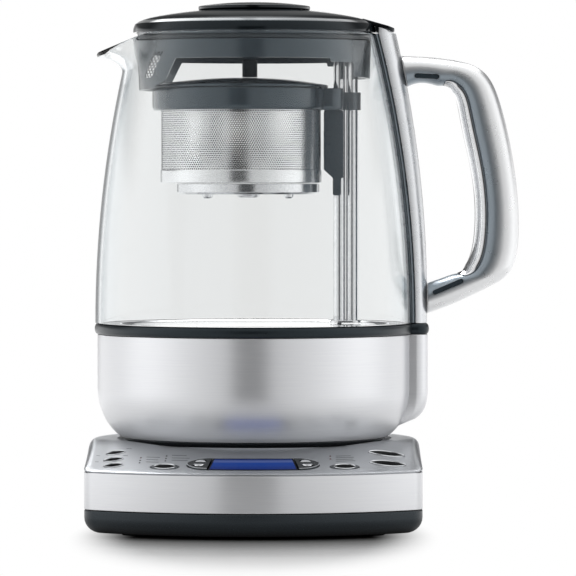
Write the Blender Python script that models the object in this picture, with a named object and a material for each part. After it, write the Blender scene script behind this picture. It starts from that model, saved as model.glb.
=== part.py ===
# Automatic tea maker: a glass jug whose tea basket is driven up and down a post, on a powered base.
# Metres, +Z up. The origin is on the table under the jug's axis. -Y is the front, +X the handle side.

import math

import bmesh
import bpy
from mathutils import Matrix, Vector

for old_object in list(bpy.data.objects):
    bpy.data.objects.remove(old_object, do_unlink=True)

# Clearances and resolution
GAP = 0.0003                    # between neighbouring pieces
OVERRUN = 0.002                 # how far a cutter runs past what it cuts
ROUND_STEPS = 36                # sides of a large round piece
SMALL_STEPS = 12                # sides of a small round piece

# Power base, plan
BASE_MARGIN = 0.0039            # from the bowl's side to the base's side
BASE_APRON = 0.0163             # how much further the middle of the bowed front lies than the sides
BASE_FRONT_RADIUS = 0.1250
BASE_CORNER_RADIUS = 0.0120
BACK_STEPS = 18
BOW_STEPS = 12
SIDE_STEPS = 5
CORNER_STEPS = 4

# Power base, heights
TUB_BOTTOM = 0.0010
TUB_HEIGHT = 0.0111
TUB_HEEL_RADIUS = 0.0085
TUB_HEEL_STEPS = 3
TUB_WALL = 0.0020
TUB_FLOOR = 0.0025
WRAP_HEIGHT = 0.0177
WRAP_THICKNESS = 0.0010
COVER_EDGE_HEIGHT = 0.0008      # wall of the cover above the wrap, at the front
COVER_RISE = 0.0118             # from the panel's front edge to the level back
COVER_SLOPE = 0.3194            # rise per run of the control panel
COVER_THICKNESS = 0.0028
COVER_SHOULDER_RADIUS = 0.0050
LINER_THICKNESS = 0.0018
SEAT_DROP = 0.0017              # under the level back
SEAT_MARGIN = 0.0013            # round the jug's standing ring
SEAT_THICKNESS = 0.0030
SHOULDER_SHARES = (0.0, 0.2, 0.55, 1.0)
SLOPE_SHARES = (0.5, 1.0)

# Feet and board
FOOT_RADIUS = 0.0070
FOOT_HEIGHT = 0.0021
FOOT_X = 0.0560
FOOT_FRONT_Y = -0.0620
FOOT_BACK_Y = 0.0380
BOARD_HALF_WIDTH = 0.0600
BOARD_FRONT = 0.0700
BOARD_BACK = 0.0300
BOARD_RISE = 0.0084             # over the tub's top
BOARD_THICKNESS = 0.0016
BOSS_RADIUS = 0.0030
BOSS_INSET = 0.0080

# Display and keys, placed by how far in from the bowed front edge they lie and how far off the middle
DISPLAY_BACK_INSET = 0.0212
DISPLAY_FRONT_INSET = 0.0057
DISPLAY_HALF_SHARE = 0.2461     # of the base's half width, as the pods' end and the keys' places
DISPLAY_STEPS = 6
DISPLAY_DEPTH = 0.0040
POD_END_SHARE = 0.38835
POD_PROUD = 0.0003
POD_SHARES = (0.0, 0.3, 0.55, 0.78, 0.93)
KEY_PROUD = 0.0009
KEY_SKIRT = 0.0011
KEY_SKIRT_HEIGHT = 0.0010
KEY_DOME_SHARE = 0.72
KEY_SMALL_LENGTH = 0.0051
KEY_SMALL_WIDTH = 0.0029
KEY_MIDDLE_LENGTH = 0.0073
KEY_MIDDLE_WIDTH = 0.0034
KEY_LARGE_LENGTH = 0.0092
KEY_LARGE_WIDTH = 0.0037
KEY_ARROW_LENGTH = 0.0026
KEY_ARROW_WIDTH = 0.0012
CORNER_ROW_BACK = 0.0250
CORNER_ROW_MIDDLE = 0.0165
CORNER_ROW_FRONT = 0.0080
LARGE_ROW_BACK = 0.0241
LARGE_ROW_FRONT = 0.0122
MIDDLE_ROW = 0.0100
ARROW_ROW_BACK = 0.0171
ARROW_ROW_FRONT = 0.0118
ARROW_SHARE = 0.4576            # from the display's end to the pod's end

# Power connector
CONNECTOR_RADIUS = 0.0180
CONNECTOR_FLANGE = 0.0035
CONNECTOR_FLANGE_HEIGHT = 0.0030
CONNECTOR_BOSS_RADIUS = 0.0105
CONNECTOR_BOSS_HEIGHT = 0.0090  # above the seat
CONNECTOR_BODY_RADIUS = 0.0140
CONNECTOR_BORE_RADIUS = 0.0024
CONNECTOR_CHAMFER = 0.0008
SOCKET_WALL = 0.0050
SOCKET_CLEARANCE = 0.0008
SOCKET_HEIGHT = 0.0120
SOCKET_FLANGE_HEIGHT = 0.0020
SOCKET_PIN_RADIUS = 0.0018

# Cord gland
GLAND_SHARE = 0.5225            # of the tub's height
GLAND_RADIUS = 0.0040
GLAND_BARREL_RADIUS = 0.0030
GLAND_BORE_RADIUS = 0.0020
GLAND_FLANGE_THICKNESS = 0.0018

# Jug
BAND_PROUD = 0.0014             # of the bowl
JUG_RING_INSET = 0.0151         # from the bowl's side to the standing ring
JUG_RING_FLARE = 0.0040
JUG_RING_HEIGHT = 0.0022
JUG_RING_WIDTH = 0.0024
JUG_RING_RECESS = 0.0020
BOTTOM_COVER_THICKNESS = 0.0024
BOWL_RADIUS = 0.0768
BOWL_THICKNESS = 0.0010
BOWL_HEIGHT = 0.0498
BOWL_BEND_RADIUS = 0.0234
BOWL_BEND_HEIGHT = 0.0239
BOWL_BEND_CURVE = 0.0280
BOWL_STATIONS = 5
COLUMN_DEPTH = 0.0080           # how far the column under the handle stands out of the bowl
COLUMN_HALF_WIDTH = 0.0132
COLUMN_CORNER_RADIUS = 0.0060
COLUMN_BEND_RISE = 0.0224       # over the bowl's bottom
COLUMN_BEND_DROP = 0.0160
BAND_HEIGHT = 0.0051
BAND_THICKNESS = 0.0034
BAND_LEDGE = 0.0058
BAND_LEDGE_HEIGHT = 0.0016
BAND_TAB_PROUD = 0.0006         # of the column
BAND_TAB_MARGIN = 0.0008
FLOOR_THICKNESS = 0.0012
FLOOR_SEAL_HEIGHT = 0.0016
FLOOR_SEAL_WIDTH = 0.0036
HEATER_THICKNESS = 0.0040
ELEMENT_RADIUS = 0.0460
ELEMENT_TUBE_RADIUS = 0.0033
ELEMENT_OPEN_ANGLE = math.radians(40.0)
THERMOSTAT_RADIUS = 0.0090
THERMOSTAT_HEIGHT = 0.0060
THERMOSTAT_Y = 0.0200

# Glass
GLASS_THICKNESS = 0.0024
GLASS_CURVE_RADIUS = 0.5700     # of the barrel-shaped side
GLASS_INSET = 0.0003            # from the band's side to the glass's
GLASS_HEIGHT = 0.1412
SPOUT_HEIGHT = 0.0188           # from where the spout starts to the mouth
GLASS_STATIONS = 5
SPOUT_STATIONS = 5
SPOUT_REACH = 0.0125
SPOUT_DROP = 0.0078             # how far the tip lies under the mouth
SPOUT_HALF_ANGLE = math.radians(34.0)

# Twin post and drive
POST_TUBE_RADIUS = 0.00295
POST_TUBE_WALL = 0.0004
POST_SHARE = 0.69345            # of the mouth's radius
POST_DROP = 0.0118              # under the mouth
POST_FOOT_MARGIN = 0.0014
POST_FOOT_HEIGHT = 0.0012
SCREW_RADIUS = 0.0010
CARRIAGE_HEIGHT = 0.0140
CARRIAGE_CLEARANCE = 0.00025
MOTOR_RADIUS = 0.0120
MOTOR_HEIGHT = 0.0240
MOTOR_BOSS_RADIUS = 0.0040
MOTOR_BOSS_HEIGHT = 0.0020

# Tea basket
CUP_TO_POST = 0.0091            # from the cup's side to the drive tube's axis
CUP_SHARE = 0.65021             # of the mouth's radius
CUP_WALL = 0.0008
CUP_DEPTH = 0.0355              # under the collar
CUP_BAND_HEIGHT = 0.0063
CUP_BAND_PROUD = 0.0003
CUP_RIM = 0.0022
COLLAR_FLANGE = 0.0043          # out from the cup
COLLAR_HEIGHT = 0.0106
BASKET_DROP = 0.0270            # from the mouth to the collar's top
COLLAR_WALL = 0.0022
COLLAR_TAPER = 0.0010
COLLAR_PAST_POST = 0.0019       # past the drive tube's axis
COLLAR_NECK_HALF_WIDTH = 0.0160
CUP_STEP_INSET = 0.0043
CUP_STEP_SHIFT = 0.0035         # of the dish towards the post
CUP_STEP_HEIGHT = 0.0052
CUP_FOOT_HEIGHT = 0.0020
CUP_FOOT_RADIUS = 0.0026
CUP_FOOT_INSET = 0.0068         # from the dish's side to the feet's middles
CUP_HUB_RADIUS = 0.0064
CUP_HUB_HEIGHT = 0.0016
BRACKET_DEPTH = 0.0077          # in from the drive tube's axis
BRACKET_HALF_DEPTH = 0.0052
BRACKET_LENGTH = 0.0330         # under the collar
BRACKET_CHAMFER = 0.0040
BRACKET_TAIL_LENGTH = 0.0085
BRACKET_TAIL_DEPTH = 0.0033     # in from the drive tube's axis
BRACKET_TAIL_PAST = 0.0007      # past the drive tube's axis
SLIDER_HEIGHT = 0.0086
SLIDER_DROP = 0.0018
SLIDER_WALL = 0.0010
SLIDER_CLEARANCE = 0.0004
MAGNET_HEIGHT = 0.0120
MAGNET_HALF_WIDTH = 0.0030
MAGNET_THICKNESS = 0.0022
BASKET_LID_RIM = 0.0016
BASKET_LID_DOME = 0.0036
BASKET_LID_THICKNESS = 0.0014
ROD_RADIUS = 0.0037
ROD_CHAMFER = 0.0008
ROD_RISE = 0.0091               # over the basket lid
ROD_SHIFT = 0.0043              # from the cup's axis towards the post

# Jug lid
LID_INSET = 0.000534            # from the mouth's outer edge
LID_CLEARANCE = 0.0004          # over the mouth
LID_EDGE_HEIGHT = 0.0044
LID_DOME_RISE = 0.0070
LID_THICKNESS = 0.0020
LID_RADIUS_SHARES = (0.0, 0.46, 0.69, 0.84, 0.94, 0.99, 1.0)
LID_HEIGHT_SHARES = (1.0, 1.0, 0.86, 0.59, 0.31, 0.03, -0.20)
KNOB_SHARE = 0.4581             # of the lid's radius
KNOB_EDGE_HEIGHT = 0.0016
KNOB_HEIGHT = 0.0036
SKIRT_CLEARANCE = 0.000534      # inside the glass
SKIRT_WALL = 0.0020
SKIRT_RING_HEIGHT = 0.0164
SKIRT_FILTER_DROP = 0.0146      # under the ring
SKIRT_BLOCK_DROP = 0.0088
SKIRT_STEP_DROP = 0.0018
SKIRT_RISE = 0.0028             # over the lid's bottom edge
SKIRT_ROOF_THICKNESS = 0.0020
SKIRT_TAPER = 0.0008
SKIRT_FILTER_TOP_SHARE = 0.6451         # of the skirt's radius, as the four after the next
SKIRT_FILTER_MIDDLE_SHARE = 0.7325
SKIRT_FILTER_BEND_SHARE = 0.7123        # of the filter's drop
SKIRT_FILTER_BOTTOM_SHARE = 0.8724
SKIRT_STEP_SHARE = 0.6381
SKIRT_BLOCK_SHARE = 0.8357
SEAL_HEIGHT = 0.0024
SEAL_DEPTH = 0.0012
SEAL_DROP = 0.0022
SEAL_PROUD = 0.0001
TAB_LENGTH = 0.0085
TAB_HALF_WIDTH = 0.0125
TAB_CORNER_RADIUS = 0.0030
TAB_THICKNESS = 0.0022
TAB_FALL = 0.0032               # from root to tip
TAB_RISE = 0.0011               # of the root over the lid's edge
CATCH_REACH = 0.0019
CATCH_HALF_WIDTH = 0.0060

# Handle
SPINE_THICKNESS = 0.0067
SPINE_THICKENING = 0.0025       # added at the top
SPINE_HALF_WIDTH = 0.0125
SPINE_CORNER_RADIUS = 0.0042
SPINE_STATIONS = 12
HANDLE_DROP = 0.0105            # under the spine's top
HANDLE_RISE = 0.0045            # over the glass's foot
HANDLE_DEPTH = 0.0518           # from the glass's widest to the outermost point of the loop
HANDLE_HALF_WIDTH = 0.0105
HANDLE_SECTION_STEPS = 12
HANDLE_SQUARENESS = 0.80        # 1 is an ellipse, less is squarer
# The loop's side view. Each station is an outer point and an inner point, as shares of reach and height.
HANDLE_SHARES = (
    (0.000, 1.000, 0.050, 0.881), (0.135, 0.998, 0.135, 0.898), (0.283, 0.993, 0.249, 0.893),
    (0.449, 0.984, 0.353, 0.875), (0.597, 0.968, 0.417, 0.859), (0.710, 0.938, 0.452, 0.840),
    (0.786, 0.884, 0.473, 0.811), (0.837, 0.819, 0.492, 0.762), (0.901, 0.710, 0.530, 0.670),
    (0.957, 0.577, 0.593, 0.555), (1.000, 0.409, 0.628, 0.412), (0.995, 0.269, 0.614, 0.285),
    (0.967, 0.194, 0.581, 0.222), (0.901, 0.144, 0.536, 0.180), (0.797, 0.114, 0.466, 0.158),
    (0.640, 0.079, 0.379, 0.142), (0.449, 0.037, 0.292, 0.129), (0.221, 0.000, 0.224, 0.117))
GRIP_FIRST = 3
GRIP_LAST = 14
GRIP_THICKNESS = 0.0022
GRIP_SHARE = 0.62               # how far round the loop's inner side the grip reaches
RECESS_DEPTH = 0.0026
RECESS_UPPER_SHARES = (0.21, 0.920)
RECESS_UPPER_LENGTH = 0.0125
RECESS_UPPER_TURN = math.radians(-3.0)
RECESS_LOWER_SHARES = (0.39, 0.104)
RECESS_LOWER_LENGTH = 0.0165
RECESS_LOWER_TURN = math.radians(23.0)
RECESS_HALF_HEIGHT = 0.0013

# Values that follow from those above
BASE_HALF_WIDTH = BOWL_RADIUS + BASE_MARGIN
BASE_FRONT = BASE_HALF_WIDTH + BASE_APRON
BOW_CENTRE_Y = BASE_FRONT_RADIUS - BASE_FRONT
TUB_TOP = TUB_BOTTOM + TUB_HEIGHT
WRAP_BOTTOM = TUB_TOP + GAP
WRAP_TOP = WRAP_BOTTOM + WRAP_HEIGHT
COVER_BOTTOM = WRAP_TOP + GAP
PANEL_EDGE = COVER_BOTTOM + COVER_EDGE_HEIGHT
PANEL_TILT = math.atan(COVER_SLOPE)
COVER_TOP = PANEL_EDGE + COVER_RISE
SEAT_HEIGHT = COVER_TOP - SEAT_DROP
LINER_INSET = WRAP_THICKNESS + GAP
CONNECTOR_HOLE_RADIUS = CONNECTOR_RADIUS + GAP
BOARD_HEIGHT = TUB_TOP + BOARD_RISE
BOARD_TOP = BOARD_HEIGHT + BOARD_THICKNESS
GLAND_HEIGHT = TUB_BOTTOM + TUB_HEIGHT * GLAND_SHARE
DISPLAY_INNER = BASE_FRONT_RADIUS - DISPLAY_BACK_INSET
DISPLAY_OUTER = BASE_FRONT_RADIUS - DISPLAY_FRONT_INSET
DISPLAY_MIDDLE = (DISPLAY_INNER + DISPLAY_OUTER) / 2
DISPLAY_HALF_ANGLE = BASE_HALF_WIDTH * DISPLAY_HALF_SHARE / DISPLAY_MIDDLE
POD_END_ANGLE = BASE_HALF_WIDTH * POD_END_SHARE / DISPLAY_MIDDLE
JUG_BAND_RADIUS = BOWL_RADIUS + BAND_PROUD
JUG_RING_RADIUS = BOWL_RADIUS - JUG_RING_INSET
SEAT_RADIUS = JUG_RING_RADIUS + JUG_RING_FLARE + SEAT_MARGIN
JUG_BOTTOM = SEAT_HEIGHT + GAP
BOTTOM_COVER_LOW = JUG_BOTTOM + JUG_RING_RECESS
BOTTOM_COVER_TOP = BOTTOM_COVER_LOW + BOTTOM_COVER_THICKNESS
BOWL_BOTTOM = JUG_BOTTOM + JUG_RING_HEIGHT + GAP
BOWL_TOP = BOWL_BOTTOM + BOWL_HEIGHT
COLUMN_REACH = BOWL_RADIUS + COLUMN_DEPTH
COLUMN_BEND_HEIGHT = BOWL_BOTTOM + COLUMN_BEND_RISE
BAND_BOTTOM = BOWL_TOP + GAP
BAND_TOP = BAND_BOTTOM + BAND_HEIGHT
BAND_TAB_REACH = COLUMN_REACH + BAND_TAB_PROUD
BAND_INNER_RADIUS = JUG_BAND_RADIUS - BAND_THICKNESS
LEDGE_TOP = BAND_BOTTOM + BAND_LEDGE_HEIGHT
FLOOR_SEAL_BOTTOM = LEDGE_TOP + GAP
FLOOR_BOTTOM = FLOOR_SEAL_BOTTOM + FLOOR_SEAL_HEIGHT + GAP
FLOOR_TOP = FLOOR_BOTTOM + FLOOR_THICKNESS
FLOOR_RADIUS = BAND_INNER_RADIUS - 2 * GAP
HEATER_BOTTOM = FLOOR_TOP - HEATER_THICKNESS
GLASS_WIDEST = JUG_BAND_RADIUS - GLASS_INSET
GLASS_BOTTOM = BAND_TOP + GAP
GLASS_TOP = GLASS_BOTTOM + GLASS_HEIGHT
GLASS_SPOUT_START = GLASS_TOP - SPOUT_HEIGHT
GLASS_NARROWING = GLASS_CURVE_RADIUS - math.sqrt(GLASS_CURVE_RADIUS ** 2 - GLASS_HEIGHT ** 2)
MOUTH_RADIUS = GLASS_WIDEST - GLASS_NARROWING
POST_DRIVE_X = MOUTH_RADIUS * POST_SHARE
POST_SENSOR_X = POST_DRIVE_X + 2 * POST_TUBE_RADIUS + GAP
POST_TOP = GLASS_TOP - POST_DROP
CUP_RADIUS = MOUTH_RADIUS * CUP_SHARE
BASKET_X = POST_DRIVE_X - CUP_TO_POST - CUP_RADIUS
COLLAR_RADIUS = CUP_RADIUS + COLLAR_FLANGE
COLLAR_TOP = GLASS_TOP - BASKET_DROP
COLLAR_BOTTOM = COLLAR_TOP - COLLAR_HEIGHT
COLLAR_REACH = POST_DRIVE_X + COLLAR_PAST_POST
CUP_BAND_BOTTOM = COLLAR_BOTTOM - CUP_DEPTH
CUP_BAND_TOP = CUP_BAND_BOTTOM + CUP_BAND_HEIGHT
CUP_STEP_RADIUS = CUP_RADIUS - CUP_STEP_INSET
CUP_STEP_X = BASKET_X + CUP_STEP_SHIFT
CUP_FOOT_CIRCLE = CUP_STEP_RADIUS - CUP_FOOT_INSET
BRACKET_INNER_X = POST_DRIVE_X - BRACKET_DEPTH
BRACKET_BOTTOM = COLLAR_BOTTOM - BRACKET_LENGTH
BRACKET_TAIL_BOTTOM = BRACKET_BOTTOM - BRACKET_TAIL_LENGTH
BRACKET_TAIL_X = POST_DRIVE_X - BRACKET_TAIL_DEPTH
BRACKET_TAIL_REACH = POST_DRIVE_X + BRACKET_TAIL_PAST
BASKET_ORIGIN = (BASKET_X, 0, COLLAR_BOTTOM)
BASKET_LID_BOTTOM = COLLAR_TOP + GAP
ROD_X = BASKET_X + ROD_SHIFT
LID_RADIUS = MOUTH_RADIUS - LID_INSET
LID_BOTTOM = GLASS_TOP + LID_CLEARANCE
LID_EDGE_TOP = LID_BOTTOM + LID_EDGE_HEIGHT
LID_DOME_TOP = LID_EDGE_TOP + LID_DOME_RISE
KNOB_RADIUS = LID_RADIUS * KNOB_SHARE
SKIRT_RADIUS = MOUTH_RADIUS - GLASS_THICKNESS - SKIRT_CLEARANCE
SKIRT_TOP = LID_BOTTOM + SKIRT_RISE
SKIRT_RING_BOTTOM = SKIRT_TOP - SKIRT_RING_HEIGHT
SKIRT_FILTER_BOTTOM = SKIRT_RING_BOTTOM - SKIRT_FILTER_DROP
SKIRT_FILTER_BEND_HEIGHT = SKIRT_RING_BOTTOM - SKIRT_FILTER_DROP * SKIRT_FILTER_BEND_SHARE
SKIRT_BLOCK_BOTTOM = SKIRT_RING_BOTTOM - SKIRT_BLOCK_DROP
SKIRT_STEP_BOTTOM = SKIRT_RING_BOTTOM - SKIRT_STEP_DROP
SKIRT_BLOCK_X = SKIRT_RADIUS * SKIRT_BLOCK_SHARE
SKIRT_STEP_X = SKIRT_RADIUS * SKIRT_STEP_SHARE
SPINE_TOP = GLASS_TOP - GAP
HANDLE_TOP = SPINE_TOP - HANDLE_DROP
HANDLE_BOTTOM = GLASS_BOTTOM + HANDLE_RISE
HANDLE_REACH = GLASS_WIDEST + HANDLE_DEPTH


def make_material(name, color, roughness, metallic=0.0, transmission=0.0):
    """A Principled BSDF material."""
    material = bpy.data.materials.new(name)
    material.use_nodes = True
    shader = material.node_tree.nodes["Principled BSDF"]
    shader.inputs["Base Color"].default_value = (*color, 1.0)
    shader.inputs["Roughness"].default_value = roughness
    shader.inputs["Metallic"].default_value = metallic
    shader.inputs["Transmission Weight"].default_value = transmission
    material.diffuse_color = (*color, 1.0)
    return material


BLACK_PLASTIC = make_material("black plastic", (0.015, 0.016, 0.018), 0.35)
SLATE_PLASTIC = make_material("slate plastic", (0.070, 0.090, 0.105), 0.30)
SILVER_PLASTIC = make_material("silver plastic", (0.60, 0.61, 0.63), 0.35, 0.5)
BRUSHED_STEEL = make_material("brushed steel", (0.62, 0.62, 0.63), 0.30, 1.0)
POLISHED_STEEL = make_material("polished steel", (0.72, 0.72, 0.73), 0.12, 1.0)
CHROME = make_material("chrome", (0.80, 0.80, 0.82), 0.08, 1.0)
CLEAR_GLASS = make_material("clear glass", (1.0, 1.0, 1.0), 0.02, 0.0, 1.0)
DISPLAY_BLUE = make_material("display blue", (0.02, 0.06, 0.40), 0.15)
RUBBER = make_material("rubber", (0.02, 0.02, 0.02), 0.80)
SILICONE = make_material("silicone", (0.45, 0.46, 0.47), 0.60)
BOARD_GREEN = make_material("board green", (0.02, 0.16, 0.07), 0.50)
ELEMENT_METAL = make_material("element metal", (0.45, 0.43, 0.41), 0.45, 1.0)
MAGNET_METAL = make_material("magnet metal", (0.50, 0.50, 0.52), 0.35, 1.0)


# Mesh helpers

def finish(name, mesh_builder, material, origin=(0, 0, 0)):
    """Turns a bmesh in world coordinates into an object whose origin is at the given point."""
    bmesh.ops.recalc_face_normals(mesh_builder, faces=mesh_builder.faces[:])
    bmesh.ops.translate(mesh_builder, verts=mesh_builder.verts[:], vec=-Vector(origin))
    mesh = bpy.data.meshes.new(name)
    mesh_builder.to_mesh(mesh)
    mesh_builder.free()
    mesh.materials.append(material)
    mesh.shade_smooth()
    mesh.set_sharp_from_angle(angle=math.radians(32.0))
    item = bpy.data.objects.new(name, mesh)
    item.location = origin
    bpy.context.scene.collection.objects.link(item)
    return item


def stack(rings, closed=False):
    """A bmesh whose faces join each ring of points to the next. A closed stack joins the last to the first,
    an open one is capped at both ends, and a ring of one point ends in a tip."""
    built = bmesh.new()
    rows = [[built.verts.new(point) for point in ring] for ring in rings]
    pairs = list(zip(rows, rows[1:]))
    if closed:
        pairs.append((rows[-1], rows[0]))
    for lower, upper in pairs:
        count = max(len(lower), len(upper))
        for index in range(count):
            follow = (index + 1) % count
            if len(lower) == 1:
                built.faces.new((lower[0], upper[follow], upper[index]))
            elif len(upper) == 1:
                built.faces.new((lower[index], lower[follow], upper[0]))
            else:
                built.faces.new((lower[index], lower[follow], upper[follow], upper[index]))
    if not closed:
        for row in (rows[0], rows[-1]):
            if len(row) > 2:
                built.faces.new(row)
    return built


def circle(radius, height, steps=ROUND_STEPS, centre=(0, 0)):
    """Points of a level circle, or one point where the radius is zero."""
    if radius == 0:
        return [(centre[0], centre[1], height)]
    turns = [2 * math.pi * index / steps for index in range(steps)]
    return [(centre[0] + radius * math.cos(turn), centre[1] + radius * math.sin(turn), height) for turn in turns]


def turned(name, profile, material, steps=ROUND_STEPS, centre=(0, 0), closed=True, origin=(0, 0, 0)):
    """A turned piece. The profile lists (radius, height). A closed profile goes round a ring."""
    rings = [circle(radius, height, steps, centre) for radius, height in profile]
    return finish(name, stack(rings, closed), material, origin)


def slab(name, outline, low, high, material, origin=(0, 0, 0)):
    """An upright prism between two heights."""
    rings = [[(x, y, height) for x, y in outline] for height in (low, high)]
    return finish(name, stack(rings), material, origin)


def side_prism(name, outline, half_width, material, origin=(0, 0, 0), centre_y=0):
    """A prism whose outline lies in the front view (x, z) and that runs from front to back."""
    rings = [[(x, centre_y + y, z) for x, z in outline] for y in (-half_width, half_width)]
    return finish(name, stack(rings), material, origin)


def rectangle(left, right, front, back):
    return [(left, front), (right, front), (right, back), (left, back)]


def as_cutter(item):
    """Hides a piece that only shapes another."""
    item.hide_render = True
    item.display_type = 'WIRE'
    item.hide_set(True)
    return item


def combine(item, tool, operation):
    """Adds, takes away or intersects another piece with an exact boolean modifier."""
    as_cutter(tool)
    modifier = item.modifiers.new(operation.lower() + " " + tool.name, 'BOOLEAN')
    modifier.operation = operation
    modifier.solver = 'EXACT'
    modifier.object = tool
    return item


def cut(item, tool):
    return combine(item, tool, 'DIFFERENCE')


def fuse(item, tool):
    return combine(item, tool, 'UNION')


def arc(centre, radius, start, end, steps):
    """Points on a flat arc, both ends included."""
    turns = [start + (end - start) * index / steps for index in range(steps + 1)]
    return [(centre[0] + radius * math.cos(turn), centre[1] + radius * math.sin(turn)) for turn in turns]


# Power base

def base_outline(inset):
    """The base's plan: a round back about the jug's axis, straight sides and a bowed front."""
    half_width = BASE_HALF_WIDTH - inset
    bow_radius = BASE_FRONT_RADIUS - inset
    corner = max(BASE_CORNER_RADIUS - inset, GAP)
    corner_x = half_width - corner
    corner_y = BOW_CENTRE_Y - math.sqrt((bow_radius - corner) ** 2 - corner_x ** 2)
    meet = math.atan2(corner_y - BOW_CENTRE_Y, corner_x)
    drops = [corner_y * index / SIDE_STEPS for index in range(1, SIDE_STEPS)]
    points = arc((0, 0), half_width, 0, math.pi, BACK_STEPS)
    points += [(-half_width, drop) for drop in drops]
    points += arc((-corner_x, corner_y), corner, math.pi, math.pi - meet, CORNER_STEPS)
    points += arc((0, BOW_CENTRE_Y), bow_radius, math.pi - meet, 2 * math.pi + meet, BOW_STEPS)[1:-1]
    points += arc((corner_x, corner_y), corner, 2 * math.pi + meet, 2 * math.pi, CORNER_STEPS)
    return points + [(half_width, drop) for drop in reversed(drops)]


def outline_ring(inset, height):
    return [(x, y, height) for x, y in base_outline(inset)]


def panel_height(x, y):
    """Height of the cover's top: a level back that falls off as a cone towards the bowed front."""
    reach = math.hypot(x, y - BOW_CENTRE_Y)
    return min(COVER_TOP, PANEL_EDGE + COVER_SLOPE * (BASE_FRONT_RADIUS - reach))


def on_panel(distance, angle):
    """The point on the control panel at a distance and an angle from the cone's axis."""
    x = distance * math.sin(angle)
    y = BOW_CENTRE_Y - distance * math.cos(angle)
    return Vector((x, y, PANEL_EDGE + COVER_SLOPE * (BASE_FRONT_RADIUS - distance)))


def make_tub():
    """The black bottom tub with its rounded heel, foot pockets and board bosses."""
    rings = []
    for index in range(TUB_HEEL_STEPS + 1):
        turn = math.pi / 2 * index / TUB_HEEL_STEPS
        inset = TUB_HEEL_RADIUS * (1 - math.sin(turn))
        rings.append(outline_ring(inset, TUB_BOTTOM + TUB_HEEL_RADIUS * (1 - math.cos(turn))))
    rings.append(outline_ring(0, TUB_TOP))
    rings.append(outline_ring(TUB_WALL, TUB_TOP))
    rings.append(outline_ring(TUB_WALL, TUB_BOTTOM + TUB_HEEL_RADIUS))
    rings.append(outline_ring(TUB_WALL + TUB_HEEL_RADIUS, TUB_BOTTOM + TUB_FLOOR))
    tub = finish("base_tub", stack(rings), BLACK_PLASTIC)
    for number, place in enumerate(foot_places(), 1):
        pocket = [(FOOT_RADIUS + GAP, TUB_BOTTOM - OVERRUN), (FOOT_RADIUS + GAP, FOOT_HEIGHT + GAP)]
        cut(tub, turned(f"foot_pocket_{number}", pocket, RUBBER, SMALL_STEPS, place, closed=False))
    for number, place in enumerate(boss_places(), 1):
        profile = [(BOSS_RADIUS, TUB_BOTTOM + TUB_FLOOR / 2), (BOSS_RADIUS, BOARD_HEIGHT - GAP)]
        fuse(tub, turned(f"board_boss_{number}", profile, BLACK_PLASTIC, SMALL_STEPS // 2, place, closed=False))
    hole = turned("gland_hole", gland_profile(GLAND_BARREL_RADIUS + GAP, OVERRUN), RUBBER, SMALL_STEPS, closed=False)
    lay_at_gland(hole)
    return cut(tub, hole)


def foot_places():
    return [(x, y) for x in (-FOOT_X, FOOT_X) for y in (FOOT_FRONT_Y, FOOT_BACK_Y)]


def boss_places():
    return [(x, y) for x in (BOSS_INSET - BOARD_HALF_WIDTH, BOARD_HALF_WIDTH - BOSS_INSET)
            for y in (BOSS_INSET - BOARD_FRONT, BOARD_BACK - BOSS_INSET)]


def make_feet():
    for number, place in enumerate(foot_places(), 1):
        profile = [(FOOT_RADIUS, 0), (FOOT_RADIUS, FOOT_HEIGHT)]
        turned(f"foot_{number}", profile, RUBBER, SMALL_STEPS, place, closed=False)


def gland_profile(radius, overrun=0):
    """A plain barrel along Z, from inside the tub's back wall to its outside."""
    return [(radius, -TUB_WALL - GLAND_FLANGE_THICKNESS - overrun), (radius, overrun)]


def lay_at_gland(item):
    """Turns a piece made along Z so that it points backwards at the cord gland's place."""
    item.matrix_world = (Matrix.Translation((0, BASE_HALF_WIDTH, GLAND_HEIGHT))
                         @ Matrix.Rotation(-math.pi / 2, 4, 'X'))


def make_gland():
    inner = -TUB_WALL - GLAND_FLANGE_THICKNESS
    profile = [(GLAND_BORE_RADIUS, inner), (GLAND_BARREL_RADIUS, inner), (GLAND_BARREL_RADIUS, GAP),
               (GLAND_RADIUS, GAP), (GLAND_RADIUS, GAP + GLAND_FLANGE_THICKNESS / 2),
               (GLAND_BARREL_RADIUS, GAP + GLAND_FLANGE_THICKNESS), (GLAND_BORE_RADIUS, GAP + GLAND_FLANGE_THICKNESS)]
    lay_at_gland(turned("cord_gland", profile, RUBBER, SMALL_STEPS))


def make_wrap():
    rings = [outline_ring(0, WRAP_BOTTOM), outline_ring(0, WRAP_TOP),
             outline_ring(WRAP_THICKNESS, WRAP_TOP), outline_ring(WRAP_THICKNESS, WRAP_BOTTOM)]
    return finish("base_steel_wrap", stack(rings, closed=True), BRUSHED_STEEL)


def cover_ring(share, drop):
    """A ring between the shoulder (share 0) and the seat (share 1), lowered by the given drop."""
    points = []
    for x, y in base_outline(COVER_SHOULDER_RADIUS):
        scale = SEAT_RADIUS / math.hypot(x, y)
        flat_x = x + (x * scale - x) * share
        flat_y = y + (y * scale - y) * share
        points.append((flat_x, flat_y, panel_height(flat_x, flat_y) - drop))
    return points


def shoulder_ring(share):
    """A ring on the rounded shoulder. Where the wall is low, the rounding is small too."""
    outer = base_outline(0)
    inner = base_outline(COVER_SHOULDER_RADIUS * share)
    points = []
    for (edge_x, edge_y), (x, y) in zip(outer, inner):
        wall = panel_height(edge_x, edge_y) - COVER_BOTTOM
        radius = min(COVER_SHOULDER_RADIUS, wall / 2)
        drop = radius * (1 - math.sqrt(1 - (1 - share) ** 2))
        points.append((x, y, panel_height(x, y) - drop))
    return points


def seat_ring(radius, height):
    points = []
    for x, y in base_outline(COVER_SHOULDER_RADIUS):
        scale = radius / math.hypot(x, y)
        points.append((x * scale, y * scale, height))
    return points


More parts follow.
